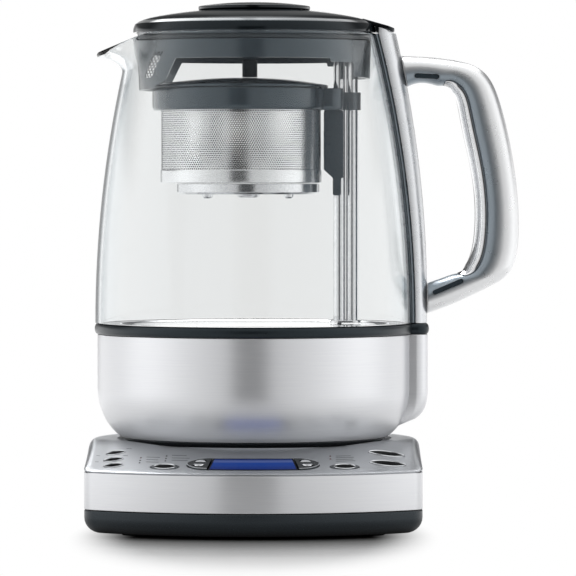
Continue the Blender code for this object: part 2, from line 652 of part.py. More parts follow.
def make_cover():
    """The silver top cover: shoulder, conical control panel, seat for the jug and inner liner."""
    liner_inner = LINER_INSET + LINER_THICKNESS
    under = [(x, y, panel_height(x, y) - COVER_THICKNESS) for x, y in base_outline(liner_inner)]
    rings = [outline_ring(0, COVER_BOTTOM)]
    rings += [shoulder_ring(share) for share in SHOULDER_SHARES]
    rings += [cover_ring(share, 0) for share in SLOPE_SHARES]
    rings.append(seat_ring(SEAT_RADIUS, SEAT_HEIGHT))
    rings.append(seat_ring(CONNECTOR_HOLE_RADIUS, SEAT_HEIGHT))
    rings.append(seat_ring(CONNECTOR_HOLE_RADIUS, SEAT_HEIGHT - SEAT_THICKNESS))
    rings.append(seat_ring(SEAT_RADIUS - COVER_THICKNESS, SEAT_HEIGHT - SEAT_THICKNESS))
    rings += [cover_ring(share, COVER_THICKNESS) for share in reversed(SLOPE_SHARES)]
    rings.append(under)
    rings.append(outline_ring(liner_inner, WRAP_BOTTOM))
    rings.append(outline_ring(LINER_INSET, WRAP_BOTTOM))
    rings.append(outline_ring(LINER_INSET, COVER_BOTTOM))
    cover = finish("base_cover", stack(rings, closed=True), SILVER_PLASTIC)
    window = strip_rings(window_stations(), OVERRUN, DISPLAY_DEPTH + OVERRUN)
    return cut(cover, finish("display_opening", stack(window), BLACK_PLASTIC))


def strip_rings(stations, above, below):
    """Rings across a strip that follows the panel. A station is (angle, inner distance, outer distance)."""
    rings = []
    for angle, inner, outer in stations:
        near = on_panel(inner, angle)
        far = on_panel(outer, angle)
        up = Vector((0, 0, above))
        down = Vector((0, 0, -below))
        rings.append([near + down, near + up, far + up, far + down])
    return rings


def pod_stations(side, margin):
    """Stations along an end pod, from the display to its pointed end, widened by a margin."""
    middle = DISPLAY_MIDDLE
    half = (DISPLAY_OUTER - DISPLAY_INNER) / 2
    start = DISPLAY_HALF_ANGLE + 2 * GAP / middle
    stations = []
    for share in POD_SHARES:
        angle = start + (POD_END_ANGLE - start) * share
        reach = half * math.sqrt(1 - share ** 2)
        stations.append((side * angle, middle - reach - margin, middle + reach + margin))
    end = side * (POD_END_ANGLE + margin / middle)
    tip = half * math.sqrt(1 - POD_SHARES[-1] ** 2) / 2
    stations.append((end, middle - tip - margin, middle + tip + margin))
    return stations


def window_stations():
    """The one opening in the panel that takes the display and both pods."""
    left = pod_stations(-1, GAP)
    right = pod_stations(1, GAP)
    return list(reversed(left)) + display_stations(GAP) + right


def display_stations(margin):
    stations = []
    for index in range(DISPLAY_STEPS + 1):
        angle = DISPLAY_HALF_ANGLE * (2 * index / DISPLAY_STEPS - 1)
        stations.append((angle, DISPLAY_INNER - margin, DISPLAY_OUTER + margin))
    return stations


def make_display():
    return finish("display_window", stack(strip_rings(display_stations(0), 0, DISPLAY_DEPTH)), DISPLAY_BLUE)


def key_table():
    """Every key: name, distance and angle on the panel, turn of its long axis, half length, half width."""
    turn = math.radians
    rows = [
        ("corner_key_1", CORNER_ROW_BACK, -0.8179, turn(-18.0), KEY_SMALL_LENGTH, KEY_SMALL_WIDTH),
        ("corner_key_2", CORNER_ROW_MIDDLE, -0.8314, turn(-16.0), KEY_SMALL_LENGTH, KEY_SMALL_WIDTH),
        ("corner_key_3", CORNER_ROW_FRONT, -0.8399, turn(-18.0), KEY_SMALL_LENGTH, KEY_SMALL_WIDTH),
        ("middle_key_left", MIDDLE_ROW, -0.5269, turn(-21.7), KEY_MIDDLE_LENGTH, KEY_MIDDLE_WIDTH),
        ("middle_key_right", MIDDLE_ROW, 0.5269, turn(21.7), KEY_MIDDLE_LENGTH, KEY_MIDDLE_WIDTH),
        ("large_key_back", LARGE_ROW_BACK, 0.7698, turn(14.0), KEY_LARGE_LENGTH, KEY_LARGE_WIDTH),
        ("large_key_front", LARGE_ROW_FRONT, 0.7755, turn(16.0), KEY_LARGE_LENGTH, KEY_LARGE_WIDTH),
    ]
    table = []
    for name, inset, side_share, long_axis, length, width in rows:
        distance = BASE_FRONT_RADIUS - inset
        angle = math.asin(BASE_HALF_WIDTH * side_share / distance)
        table.append((name, distance, angle, long_axis, length, width))
    middle = DISPLAY_HALF_ANGLE + (POD_END_ANGLE - DISPLAY_HALF_ANGLE) * ARROW_SHARE
    for side, angle in (("left", -middle), ("right", middle)):
        for way, inset in (("up", ARROW_ROW_BACK), ("down", ARROW_ROW_FRONT)):
            table.append((f"arrow_key_{side}_{way}", BASE_FRONT_RADIUS - inset, angle, angle,
                          KEY_ARROW_LENGTH, KEY_ARROW_WIDTH))
    return table


def key_frame(distance, angle, turn):
    """Places a key on the panel: its Z is the panel's normal and its X the key's long axis."""
    outward = Vector((math.sin(angle), -math.cos(angle), 0))
    normal = (outward * math.sin(PANEL_TILT) + Vector((0, 0, math.cos(PANEL_TILT)))).normalized()
    along = Vector((math.cos(turn), math.sin(turn), 0))
    along = (along - normal * along.dot(normal)).normalized()
    across = normal.cross(along)
    rotation = Matrix((along, across, normal)).transposed().to_4x4()
    return Matrix.Translation(on_panel(distance, angle)) @ rotation


def oval(half_length, half_width, height):
    turns = [2 * math.pi * index / SMALL_STEPS for index in range(SMALL_STEPS)]
    return [(half_length * math.cos(turn), half_width * math.sin(turn), height) for turn in turns]


def make_keys(cover, pods):
    """The keys, each trapped by a skirt under the piece that it comes through."""
    for name, distance, angle, turn, length, width in key_table():
        is_arrow = name.startswith("arrow")
        depth = DISPLAY_DEPTH if is_arrow else COVER_THICKNESS
        skirt = KEY_SKIRT / 2 if is_arrow else KEY_SKIRT
        frame = key_frame(distance, angle, turn)
        low = -(depth + GAP)
        rings = [oval(length * KEY_DOME_SHARE, width * KEY_DOME_SHARE, KEY_PROUD),
                 oval(length, width, KEY_PROUD * (1 - KEY_DOME_SHARE)),
                 oval(length, width, low),
                 oval(length + skirt, width + skirt, low),
                 oval(length + skirt, width + skirt, low - KEY_SKIRT_HEIGHT)]
        key = finish(name, stack(rings), CHROME)
        key.matrix_world = frame
        hole = finish(name + "_hole", stack([oval(length + GAP, width + GAP, OVERRUN),
                                             oval(length + GAP, width + GAP, low - OVERRUN)]), CHROME)
        hole.matrix_world = frame
        cut(pods[0] if "left" in name and is_arrow else pods[1] if is_arrow else cover, hole)


def make_pods():
    pods = []
    for name, side in (("display_pod_left", -1), ("display_pod_right", 1)):
        rings = strip_rings(pod_stations(side, 0), POD_PROUD, DISPLAY_DEPTH)
        pods.append(finish(name, stack(rings), SLATE_PLASTIC))
    return pods


def make_board():
    return slab("control_board", rectangle(-BOARD_HALF_WIDTH, BOARD_HALF_WIDTH, -BOARD_FRONT, BOARD_BACK),
                BOARD_HEIGHT, BOARD_TOP, BOARD_GREEN)


def make_base_connector():
    """The round connector in the middle of the seat, trapped under the cover and standing on the board."""
    flange_top = SEAT_HEIGHT - SEAT_THICKNESS - GAP
    top = SEAT_HEIGHT + CONNECTOR_BOSS_HEIGHT
    profile = [(0, BOARD_TOP + GAP), (CONNECTOR_BODY_RADIUS, BOARD_TOP + GAP),
               (CONNECTOR_BODY_RADIUS, flange_top - CONNECTOR_FLANGE_HEIGHT),
               (CONNECTOR_RADIUS + CONNECTOR_FLANGE, flange_top - CONNECTOR_FLANGE_HEIGHT),
               (CONNECTOR_RADIUS + CONNECTOR_FLANGE, flange_top), (CONNECTOR_RADIUS, flange_top),
               (CONNECTOR_RADIUS, SEAT_HEIGHT - GAP), (CONNECTOR_BOSS_RADIUS, SEAT_HEIGHT - GAP),
               (CONNECTOR_BOSS_RADIUS, top - CONNECTOR_CHAMFER), (CONNECTOR_BOSS_RADIUS - CONNECTOR_CHAMFER, top),
               (CONNECTOR_BORE_RADIUS, top), (CONNECTOR_BORE_RADIUS, SEAT_HEIGHT), (0, SEAT_HEIGHT)]
    return turned("base_connector", profile, BLACK_PLASTIC, ROUND_STEPS // 2, closed=False)


# Jug

def bowl_radius(height):
    """Outer radius of the steel bowl: straight above, and an elliptical bend below."""
    bend_top = BOWL_BOTTOM + BOWL_BEND_HEIGHT
    if height >= bend_top:
        return BOWL_RADIUS
    fall = min(1, (bend_top - height) / BOWL_BEND_CURVE)
    return BOWL_RADIUS - BOWL_BEND_RADIUS * (1 - math.sqrt(1 - fall ** 2))


def column_share(height):
    """How much of the column under the handle stands out of the bowl at a height: 1 above, 0 at its foot."""
    if height >= COLUMN_BEND_HEIGHT:
        return 1
    fall = min(1, (COLUMN_BEND_HEIGHT - height) / COLUMN_BEND_DROP)
    return math.sqrt(1 - fall ** 2)


def keyhole_ring(radius, reach, half_width, corner, height, share=1):
    """A circle with a square-shouldered column at +X. The share blends the column into the circle."""
    crease = math.asin(half_width / radius)
    back = arc((0, 0), radius, crease, 2 * math.pi - crease, ROUND_STEPS)
    column = [(reach - corner, -half_width)]
    column += arc((reach - corner, corner - half_width), corner, -math.pi / 2, 0, CORNER_STEPS)[1:]
    column += arc((reach - corner, half_width - corner), corner, 0, math.pi / 2, CORNER_STEPS)
    turns = [-crease + 2 * crease * (index + 1) / (len(column) + 1) for index in range(len(column))]
    flush = [(radius * math.cos(turn), radius * math.sin(turn)) for turn in turns]
    blended = [(a[0] + (b[0] - a[0]) * share, a[1] + (b[1] - a[1]) * share) for a, b in zip(flush, column)]
    return [(x, y, height) for x, y in back + blended]


def bowl_ring(height, inset):
    return keyhole_ring(bowl_radius(height) - inset, COLUMN_REACH - inset, COLUMN_HALF_WIDTH - inset,
                        COLUMN_CORNER_RADIUS - inset, height, column_share(height))


def make_bowl():
    """The drawn steel bowl, one shell with the column under the handle."""
    bend_top = BOWL_BOTTOM + BOWL_BEND_HEIGHT
    heights = [BOWL_BOTTOM + (bend_top - BOWL_BOTTOM) * index / BOWL_STATIONS for index in range(BOWL_STATIONS + 1)]
    heights.append(BOWL_TOP)
    rings = [bowl_ring(height, 0) for height in heights]
    rings += [bowl_ring(height, BOWL_THICKNESS) for height in reversed(heights)]
    return finish("steel_bowl", stack(rings, closed=True), BRUSHED_STEEL)


def make_bottom_cover():
    """The black bottom cover with the flared standing ring and the connector's hole."""
    flare_top = JUG_BOTTOM + JUG_RING_HEIGHT
    neck = bowl_radius(BOWL_BOTTOM) - BOWL_THICKNESS - 4 * GAP
    hole = CONNECTOR_BOSS_RADIUS + SOCKET_CLEARANCE + SOCKET_WALL + GAP
    profile = [(JUG_RING_RADIUS - JUG_RING_WIDTH, JUG_BOTTOM), (JUG_RING_RADIUS, JUG_BOTTOM),
               (JUG_RING_RADIUS + JUG_RING_FLARE, flare_top), (neck, flare_top),
               (neck, BOTTOM_COVER_TOP), (hole, BOTTOM_COVER_TOP), (hole, BOTTOM_COVER_LOW),
               (JUG_RING_RADIUS - JUG_RING_WIDTH, BOTTOM_COVER_LOW)]
    return turned("jug_bottom_cover", profile, BLACK_PLASTIC)


def make_jug_connector():
    """The jug's half of the connector: a cup over the base's boss, with a centre pin."""
    inner = CONNECTOR_BOSS_RADIUS + SOCKET_CLEARANCE
    outer = inner + SOCKET_WALL
    top = BOTTOM_COVER_LOW + SOCKET_HEIGHT
    roof = SEAT_HEIGHT + CONNECTOR_BOSS_HEIGHT + SOCKET_CLEARANCE
    flange_low = BOTTOM_COVER_TOP + GAP
    profile = [(0, top), (outer, top), (outer, flange_low + SOCKET_FLANGE_HEIGHT),
               (outer + SOCKET_WALL, flange_low + SOCKET_FLANGE_HEIGHT), (outer + SOCKET_WALL, flange_low),
               (outer, flange_low), (outer, BOTTOM_COVER_LOW), (inner, BOTTOM_COVER_LOW), (inner, roof),
               (SOCKET_PIN_RADIUS, roof), (SOCKET_PIN_RADIUS, BOTTOM_COVER_LOW), (0, BOTTOM_COVER_LOW)]
    return turned("jug_connector", profile, BLACK_PLASTIC, ROUND_STEPS // 2, closed=False)


def make_band():
    """The dark band between glass and steel, with the tab over the column and the ledge for the floor."""
    half_width = COLUMN_HALF_WIDTH + BAND_TAB_MARGIN

    def outer(height):
        return keyhole_ring(JUG_BAND_RADIUS, BAND_TAB_REACH, half_width, COLUMN_CORNER_RADIUS, height)

    def inner(radius, height):
        return keyhole_ring(radius, radius, half_width, COLUMN_CORNER_RADIUS, height, 0)

    rings = [outer(BAND_BOTTOM), outer(BAND_TOP), inner(BAND_INNER_RADIUS, BAND_TOP),
             inner(BAND_INNER_RADIUS, LEDGE_TOP), inner(BAND_INNER_RADIUS - BAND_LEDGE, LEDGE_TOP),
             inner(BAND_INNER_RADIUS - BAND_LEDGE, BAND_BOTTOM)]
    return finish("jug_band", stack(rings, closed=True), BLACK_PLASTIC)


def make_floor():
    """Seal, heater plate, heating element and thermostat, from the ledge inwards."""
    inner = FLOOR_RADIUS - FLOOR_SEAL_WIDTH
    seal = [(inner, FLOOR_SEAL_BOTTOM), (FLOOR_RADIUS, FLOOR_SEAL_BOTTOM),
            (FLOOR_RADIUS, FLOOR_BOTTOM - GAP), (inner, FLOOR_BOTTOM - GAP)]
    turned("floor_seal", seal, SILICONE)
    dish = BAND_INNER_RADIUS - BAND_LEDGE - GAP
    hole = SCREW_RADIUS + 2 * GAP
    plate = [(0, HEATER_BOTTOM), (dish, HEATER_BOTTOM), (dish, FLOOR_BOTTOM), (FLOOR_RADIUS, FLOOR_BOTTOM),
             (FLOOR_RADIUS, FLOOR_TOP), (0, FLOOR_TOP)]
    heater = turned("heater_plate", plate, POLISHED_STEEL, closed=False)
    bore = [(hole, HEATER_BOTTOM - OVERRUN), (hole, FLOOR_TOP + OVERRUN)]
    cut(heater, turned("screw_bore", bore, POLISHED_STEEL, SMALL_STEPS, (POST_DRIVE_X, 0), closed=False))
    make_element(HEATER_BOTTOM - GAP - ELEMENT_TUBE_RADIUS)
    case = [(THERMOSTAT_RADIUS, HEATER_BOTTOM - GAP - THERMOSTAT_HEIGHT), (THERMOSTAT_RADIUS, HEATER_BOTTOM - GAP)]
    turned("thermostat", case, BLACK_PLASTIC, SMALL_STEPS, (0, THERMOSTAT_Y), closed=False)


def make_element(height):
    """The heating element, an open ring of tube under the plate."""
    section = SMALL_STEPS // 2
    steps = ROUND_STEPS // 2
    rings = []
    for index in range(steps + 1):
        turn = ELEMENT_OPEN_ANGLE + (2 * math.pi - 2 * ELEMENT_OPEN_ANGLE) * index / steps
        outward = Vector((math.cos(turn), math.sin(turn), 0))
        centre = outward * ELEMENT_RADIUS + Vector((0, 0, height))
        rings.append([centre + outward * ELEMENT_TUBE_RADIUS * math.cos(2 * math.pi * side / section)
                      + Vector((0, 0, ELEMENT_TUBE_RADIUS * math.sin(2 * math.pi * side / section)))
                      for side in range(section)])
    return finish("heating_element", stack(rings), ELEMENT_METAL)


def glass_radius(height):
    """Outer radius of the glass's barrel-shaped side."""
    rise = max(0, height - GLASS_BOTTOM)
    return GLASS_WIDEST - (GLASS_CURVE_RADIUS - math.sqrt(GLASS_CURVE_RADIUS ** 2 - rise ** 2))


def spout_weight(angle):
    """1 on the spout's middle line at -X, falling smoothly to 0 at its sides."""
    off = abs(math.remainder(angle - math.pi, 2 * math.pi)) / SPOUT_HALF_ANGLE
    if off >= 1:
        return 0
    return math.cos(off * math.pi / 2) ** 2


def glass_angles():
    """Angles round the jug, closer together at the spout."""
    turns = []
    for index in range(ROUND_STEPS + 8):
        turn = 2 * math.pi * index / (ROUND_STEPS + 8)
        turns.append(turn + math.sin(turn) / 3)
    return turns


def glass_wall(inset):
    """Rings of the glass from the band to the mouth. The spout's lip swings out as a quarter ellipse."""
    rings = []
    for index in range(GLASS_STATIONS):
        height = GLASS_BOTTOM + (GLASS_SPOUT_START - GLASS_BOTTOM) * index / GLASS_STATIONS
        radius = glass_radius(height) - inset
        rings.append([(radius * math.cos(turn), radius * math.sin(turn), height) for turn in glass_angles()])
    base = glass_radius(GLASS_SPOUT_START)
    for index in range(SPOUT_STATIONS + 1):
        share = index / SPOUT_STATIONS
        plain_height = GLASS_SPOUT_START + (GLASS_TOP - GLASS_SPOUT_START) * share
        plain_radius = glass_radius(plain_height) - inset
        swing = share * math.pi / 2
        lip_rise = GLASS_TOP - SPOUT_DROP - GLASS_SPOUT_START
        lip_radius = base + SPOUT_REACH * (1 - math.cos(swing)) - inset * math.cos(swing)
        lip_height = GLASS_SPOUT_START + (lip_rise - GLASS_THICKNESS) * math.sin(swing)
        lip_height += inset * math.sin(swing)
        ring = []
        for turn in glass_angles():
            weight = spout_weight(turn)
            radius = plain_radius + (lip_radius - plain_radius) * weight
            height = plain_height + (lip_height - plain_height) * weight
            ring.append((radius * math.cos(turn), radius * math.sin(turn), height))
        rings.append(ring)
    return rings


def make_glass():
    rings = glass_wall(0) + list(reversed(glass_wall(GLASS_THICKNESS)))
    return finish("glass_jug", stack(rings, closed=True), CLEAR_GLASS)


def make_post():
    """The twin post that stands on the floor in its foot plate: the drive tube and the sensor tube."""
    foot = FLOOR_TOP + GAP
    outer = POST_TUBE_RADIUS
    inner = outer - POST_TUBE_WALL
    roof = POST_TOP - POST_TUBE_WALL
    profile = [(0, roof), (inner, roof), (inner, foot), (outer, foot), (outer, roof), (inner, POST_TOP), (0, POST_TOP)]
    for name, x in (("drive_tube", POST_DRIVE_X), ("sensor_tube", POST_SENSOR_X)):
        turned(name, profile, POLISHED_STEEL, SMALL_STEPS, (x, 0), closed=False)
    margin = POST_TUBE_RADIUS + GAP + POST_FOOT_MARGIN
    outline = arc((POST_DRIVE_X, 0), margin, math.pi / 2, 3 * math.pi / 2, SMALL_STEPS // 2)
    outline += arc((POST_SENSOR_X, 0), margin, -math.pi / 2, math.pi / 2, SMALL_STEPS // 2)
    plate = slab("post_foot", outline, foot, foot + POST_FOOT_HEIGHT, POLISHED_STEEL)
    for number, x in enumerate((POST_DRIVE_X, POST_SENSOR_X), 1):
        hole = [(POST_TUBE_RADIUS + GAP, foot - OVERRUN), (POST_TUBE_RADIUS + GAP, foot + POST_FOOT_HEIGHT + OVERRUN)]
        cut(plate, turned(f"foot_hole_{number}", hole, POLISHED_STEEL, SMALL_STEPS, (x, 0), closed=False))


def make_drive():
    """Motor, lead screw and magnet carriage."""
    boss_top = HEATER_BOTTOM - GAP
    motor_top = boss_top - MOTOR_BOSS_HEIGHT
    profile = [(0, motor_top - MOTOR_HEIGHT), (MOTOR_RADIUS, motor_top - MOTOR_HEIGHT), (MOTOR_RADIUS, motor_top),
               (MOTOR_BOSS_RADIUS, motor_top), (MOTOR_BOSS_RADIUS, boss_top), (0, boss_top)]
    turned("drive_motor", profile, MAGNET_METAL, SMALL_STEPS, (POST_DRIVE_X, 0), closed=False)
    screw = [(SCREW_RADIUS, HEATER_BOTTOM), (SCREW_RADIUS, POST_TOP - POST_TUBE_WALL - GAP)]
    turned("lead_screw", screw, POLISHED_STEEL, SMALL_STEPS // 2, (POST_DRIVE_X, 0), False,
           (POST_DRIVE_X, 0, HEATER_BOTTOM))
    radius = POST_TUBE_RADIUS - POST_TUBE_WALL - CARRIAGE_CLEARANCE
    bore = SCREW_RADIUS + CARRIAGE_CLEARANCE
    middle = magnet_height()
    bottom = middle - CARRIAGE_HEIGHT / 2
    top = middle + CARRIAGE_HEIGHT / 2
    carriage = [(bore, bottom), (radius, bottom), (radius, top), (bore, top)]
    turned("magnet_carriage", carriage, MAGNET_METAL, SMALL_STEPS, (POST_DRIVE_X, 0), True, (POST_DRIVE_X, 0, middle))


# Tea basket

def magnet_height():
    """Height of the middle of the bracket's magnet, and so of the carriage inside the post."""
    return BRACKET_BOTTOM + (COLLAR_BOTTOM - BRACKET_BOTTOM) / 2


def collar_ring(inset, height, reach_inset):
    """The collar's plan: a circle about the cup's axis with a square neck at the post."""
    ring = keyhole_ring(COLLAR_RADIUS - inset, COLLAR_REACH - BASKET_X - reach_inset,
                        COLLAR_NECK_HALF_WIDTH - inset, COLUMN_CORNER_RADIUS - inset, height)
    return [(x + BASKET_X, y, z) for x, y, z in ring]


def make_collar():
    """The collar with its neck, a bore for the cup and the slider that goes round the sensor tube."""
    rings = [collar_ring(COLLAR_TAPER, COLLAR_BOTTOM, COLLAR_TAPER),
             collar_ring(0, COLLAR_BOTTOM + 2 * COLLAR_TAPER, 0), collar_ring(0, COLLAR_TOP, 0)]
    collar = finish("basket_collar", stack(rings), SLATE_PLASTIC, BASKET_ORIGIN)
    shelf = COLLAR_BOTTOM + COLLAR_WALL
    bore = [(CUP_RADIUS + CUP_RIM + GAP, COLLAR_TOP + OVERRUN), (CUP_RADIUS + CUP_RIM + GAP, shelf),
            (CUP_RADIUS + GAP, shelf), (CUP_RADIUS + GAP, COLLAR_BOTTOM - OVERRUN)]
    cut(collar, turned("cup_bore", bore, SLATE_PLASTIC, centre=(BASKET_X, 0), closed=False))
    top = COLLAR_TOP - SLIDER_DROP
    outer = POST_TUBE_RADIUS + SLIDER_CLEARANCE + SLIDER_WALL
    outline = arc((POST_SENSOR_X, 0), outer, -math.pi / 2, math.pi / 2, SMALL_STEPS // 2)
    outline += [(COLLAR_REACH - SLIDER_WALL, outer), (COLLAR_REACH - SLIDER_WALL, -outer)]
    fuse(collar, slab("post_slider", outline, top - SLIDER_HEIGHT, top, SLATE_PLASTIC))
    reach = POST_TUBE_RADIUS + SLIDER_CLEARANCE
    for number, x in enumerate((POST_DRIVE_X, POST_SENSOR_X), 1):
        profile = [(reach, COLLAR_BOTTOM - SLIDER_HEIGHT), (reach, COLLAR_TOP + OVERRUN)]
        cut(collar, turned(f"post_bore_{number}", profile, SLATE_PLASTIC, SMALL_STEPS, (x, 0), closed=False))
    return collar


def make_cup():
    """The perforated steel cup with its rolled rim and its solid band at the foot."""
    inner = CUP_RADIUS - CUP_WALL
    rim_top = COLLAR_BOTTOM + COLLAR_WALL + GAP + CUP_WALL
    profile = [(inner, rim_top), (inner, CUP_BAND_BOTTOM + CUP_WALL), (0, CUP_BAND_BOTTOM + CUP_WALL)]
    outside = [(0, CUP_BAND_BOTTOM), (CUP_RADIUS + CUP_BAND_PROUD, CUP_BAND_BOTTOM),
               (CUP_RADIUS + CUP_BAND_PROUD, CUP_BAND_TOP), (CUP_RADIUS, CUP_BAND_TOP),
               (CUP_RADIUS, rim_top - CUP_WALL), (CUP_RADIUS + CUP_RIM, rim_top - CUP_WALL),
               (CUP_RADIUS + CUP_RIM, rim_top)]
    rings = [circle(radius, height, ROUND_STEPS, (BASKET_X, 0)) for radius, height in outside + profile]
    return finish("basket_cup", stack(rings), BRUSHED_STEEL)


def make_cup_base():
    """The stepped dish under the cup, with four feet and a round hub."""
    top = CUP_BAND_BOTTOM - GAP
    low = top - CUP_STEP_HEIGHT
    inner = CUP_STEP_RADIUS - CUP_WALL
    profile = [(0, low), (CUP_STEP_RADIUS - CUP_BAND_PROUD, low), (CUP_STEP_RADIUS, low + CUP_BAND_PROUD),
               (CUP_STEP_RADIUS, top), (inner, top), (inner, low + CUP_WALL), (0, low + CUP_WALL)]
    base = turned("basket_base", profile, BRUSHED_STEEL, centre=(CUP_STEP_X, 0), closed=False)
    for number in range(4):
        turn = math.pi / 4 + number * math.pi / 2
        place = (CUP_STEP_X + CUP_FOOT_CIRCLE * math.cos(turn), CUP_FOOT_CIRCLE * math.sin(turn))
        foot = [(CUP_FOOT_RADIUS / 2, low - CUP_FOOT_HEIGHT), (CUP_FOOT_RADIUS, low + CUP_WALL / 2)]
        fuse(base, turned(f"basket_foot_{number + 1}", foot, BRUSHED_STEEL, SMALL_STEPS // 2, place, closed=False))
    hub = [(CUP_HUB_RADIUS * KEY_DOME_SHARE, low - CUP_HUB_HEIGHT), (CUP_HUB_RADIUS, low + CUP_WALL / 2)]
    return fuse(base, turned("basket_hub", hub, BRUSHED_STEEL, SMALL_STEPS, (CUP_STEP_X, 0), closed=False))


def make_bracket():
    """The bracket that hangs from the collar and clips round the drive tube, with its magnet."""
    top = COLLAR_BOTTOM - GAP
    outline = [(BRACKET_INNER_X, top), (BRACKET_INNER_X, BRACKET_BOTTOM + BRACKET_CHAMFER),
               (BRACKET_TAIL_X, BRACKET_BOTTOM), (BRACKET_TAIL_X, BRACKET_TAIL_BOTTOM),
               (BRACKET_TAIL_REACH, BRACKET_TAIL_BOTTOM), (BRACKET_TAIL_REACH, BRACKET_BOTTOM),
               (COLLAR_REACH, BRACKET_BOTTOM), (COLLAR_REACH, top)]
    bracket = side_prism("basket_bracket", outline, BRACKET_HALF_DEPTH, SLATE_PLASTIC, BASKET_ORIGIN)
    reach = POST_TUBE_RADIUS + SLIDER_CLEARANCE
    bore = [(reach, BRACKET_TAIL_BOTTOM - OVERRUN), (reach, top + OVERRUN)]
    cut(bracket, turned("bracket_bore", bore, SLATE_PLASTIC, SMALL_STEPS, (POST_DRIVE_X, 0), closed=False))
    middle = magnet_height()
    right = POST_DRIVE_X - reach - POST_TUBE_WALL
    left = right - MAGNET_THICKNESS
    plan = rectangle(left, right, -MAGNET_HALF_WIDTH, MAGNET_HALF_WIDTH)
    slab("basket_magnet", plan, middle - MAGNET_HEIGHT / 2, middle + MAGNET_HEIGHT / 2, MAGNET_METAL, BASKET_ORIGIN)
    half = MAGNET_HALF_WIDTH + GAP
    pocket = rectangle(BRACKET_INNER_X - OVERRUN, right + GAP, -half, half)
    low = middle - MAGNET_HEIGHT / 2 - GAP
    return cut(bracket, slab("magnet_pocket", pocket, low, middle + MAGNET_HEIGHT / 2 + GAP, SLATE_PLASTIC))


def make_basket_lid():
    """The domed basket lid that sits on the collar, and its pull rod."""
    radius = COLLAR_RADIUS - BASKET_LID_RIM / 2
    low = BASKET_LID_BOTTOM
    edge = low + BASKET_LID_THICKNESS
    top = edge + BASKET_LID_DOME
    profile = [(0, top - BASKET_LID_THICKNESS), (radius / 4, top - BASKET_LID_THICKNESS),
               (radius - BASKET_LID_RIM, low), (radius, low), (radius, edge),
               (radius * 3 / 4, edge + BASKET_LID_DOME / 2), (radius / 4, top), (0, top)]
    turned("basket_lid", profile, SLATE_PLASTIC, centre=(BASKET_X, 0), closed=False)
    rod = [(ROD_RADIUS, top + GAP), (ROD_RADIUS, top + ROD_RISE - ROD_CHAMFER),
           (ROD_RADIUS - ROD_CHAMFER, top + ROD_RISE)]
    turned("basket_lid_rod", rod, BLACK_PLASTIC, SMALL_STEPS, (ROD_X, 0), closed=False)


# Jug lid

def make_lid_cover():
    """The domed cover, a thin shell with a straight rim."""
    rise = LID_DOME_TOP - LID_EDGE_TOP
    dome = [(LID_RADIUS * radius, LID_EDGE_TOP + rise * height)
            for radius, height in zip(LID_RADIUS_SHARES, LID_HEIGHT_SHARES)]
    inner_radius = LID_RADIUS - LID_THICKNESS
    under = [(inner_radius * radius, LID_EDGE_TOP + rise * height - LID_THICKNESS)
             for radius, height in zip(LID_RADIUS_SHARES[:-2], LID_HEIGHT_SHARES[:-2])]
    rim = [(LID_RADIUS, LID_BOTTOM), (inner_radius, LID_BOTTOM), (inner_radius, LID_EDGE_TOP - LID_THICKNESS / 2)]
    profile = dome + rim + list(reversed(under))
    return turned("lid_cover", profile, SLATE_PLASTIC, closed=False)


def make_lid_knob():
    low = LID_DOME_TOP + GAP
    top = LID_DOME_TOP + KNOB_HEIGHT
    edge = low + KNOB_EDGE_HEIGHT
    profile = [(0, low), (KNOB_RADIUS, low), (KNOB_RADIUS, edge)]
    steps = 4
    for index in range(1, steps + 1):
        share = 1 - index / steps
        profile.append((KNOB_RADIUS * share, edge + (top - edge) * (1 - share ** 2)))
    return turned("lid_knob", profile, BLACK_PLASTIC, closed=False)


def make_skirt():
    """The skirt inside the mouth: a ring with the spout filter at the left and a stepped block at the right."""
    roof = SKIRT_TOP - SKIRT_ROOF_THICKNESS
    groove_top = SKIRT_TOP - SEAL_DROP - (SKIRT_TOP - LID_BOTTOM)
    groove_low = groove_top - SEAL_HEIGHT
    groove = SKIRT_RADIUS - SEAL_DEPTH
    profile = [(0, SKIRT_TOP), (SKIRT_RADIUS, SKIRT_TOP), (SKIRT_RADIUS, groove_top), (groove, groove_top),
               (groove, groove_low), (SKIRT_RADIUS, groove_low), (SKIRT_RADIUS - SKIRT_TAPER, SKIRT_FILTER_BOTTOM),
               (SKIRT_RADIUS - SKIRT_TAPER - SKIRT_WALL, SKIRT_FILTER_BOTTOM), (SKIRT_RADIUS - SKIRT_WALL, roof), (0, roof)]
    skirt = turned("lid_skirt", profile, SLATE_PLASTIC, closed=False)
    seal = [(groove + GAP, groove_low + GAP), (SKIRT_RADIUS + SEAL_PROUD, groove_low + GAP),
            (SKIRT_RADIUS + SEAL_PROUD, groove_top - GAP), (groove + GAP, groove_top - GAP)]
    turned("lid_seal", seal, SILICONE)
    below = SKIRT_FILTER_BOTTOM - OVERRUN
    beyond = SKIRT_RADIUS + OVERRUN
    bottom_x = SKIRT_RADIUS * SKIRT_FILTER_BOTTOM_SHARE
    window = [(-SKIRT_RADIUS * SKIRT_FILTER_TOP_SHARE, SKIRT_RING_BOTTOM),
              (-SKIRT_RADIUS * SKIRT_FILTER_MIDDLE_SHARE, SKIRT_FILTER_BEND_HEIGHT),
              (-bottom_x, SKIRT_FILTER_BOTTOM), (-bottom_x - OVERRUN / 2, below),
              (beyond, below), (beyond, SKIRT_BLOCK_BOTTOM), (SKIRT_BLOCK_X, SKIRT_BLOCK_BOTTOM),
              (SKIRT_BLOCK_X, SKIRT_STEP_BOTTOM), (SKIRT_STEP_X, SKIRT_STEP_BOTTOM), (SKIRT_STEP_X, SKIRT_RING_BOTTOM)]
    return cut(skirt, side_prism("skirt_window", window, beyond, SLATE_PLASTIC))


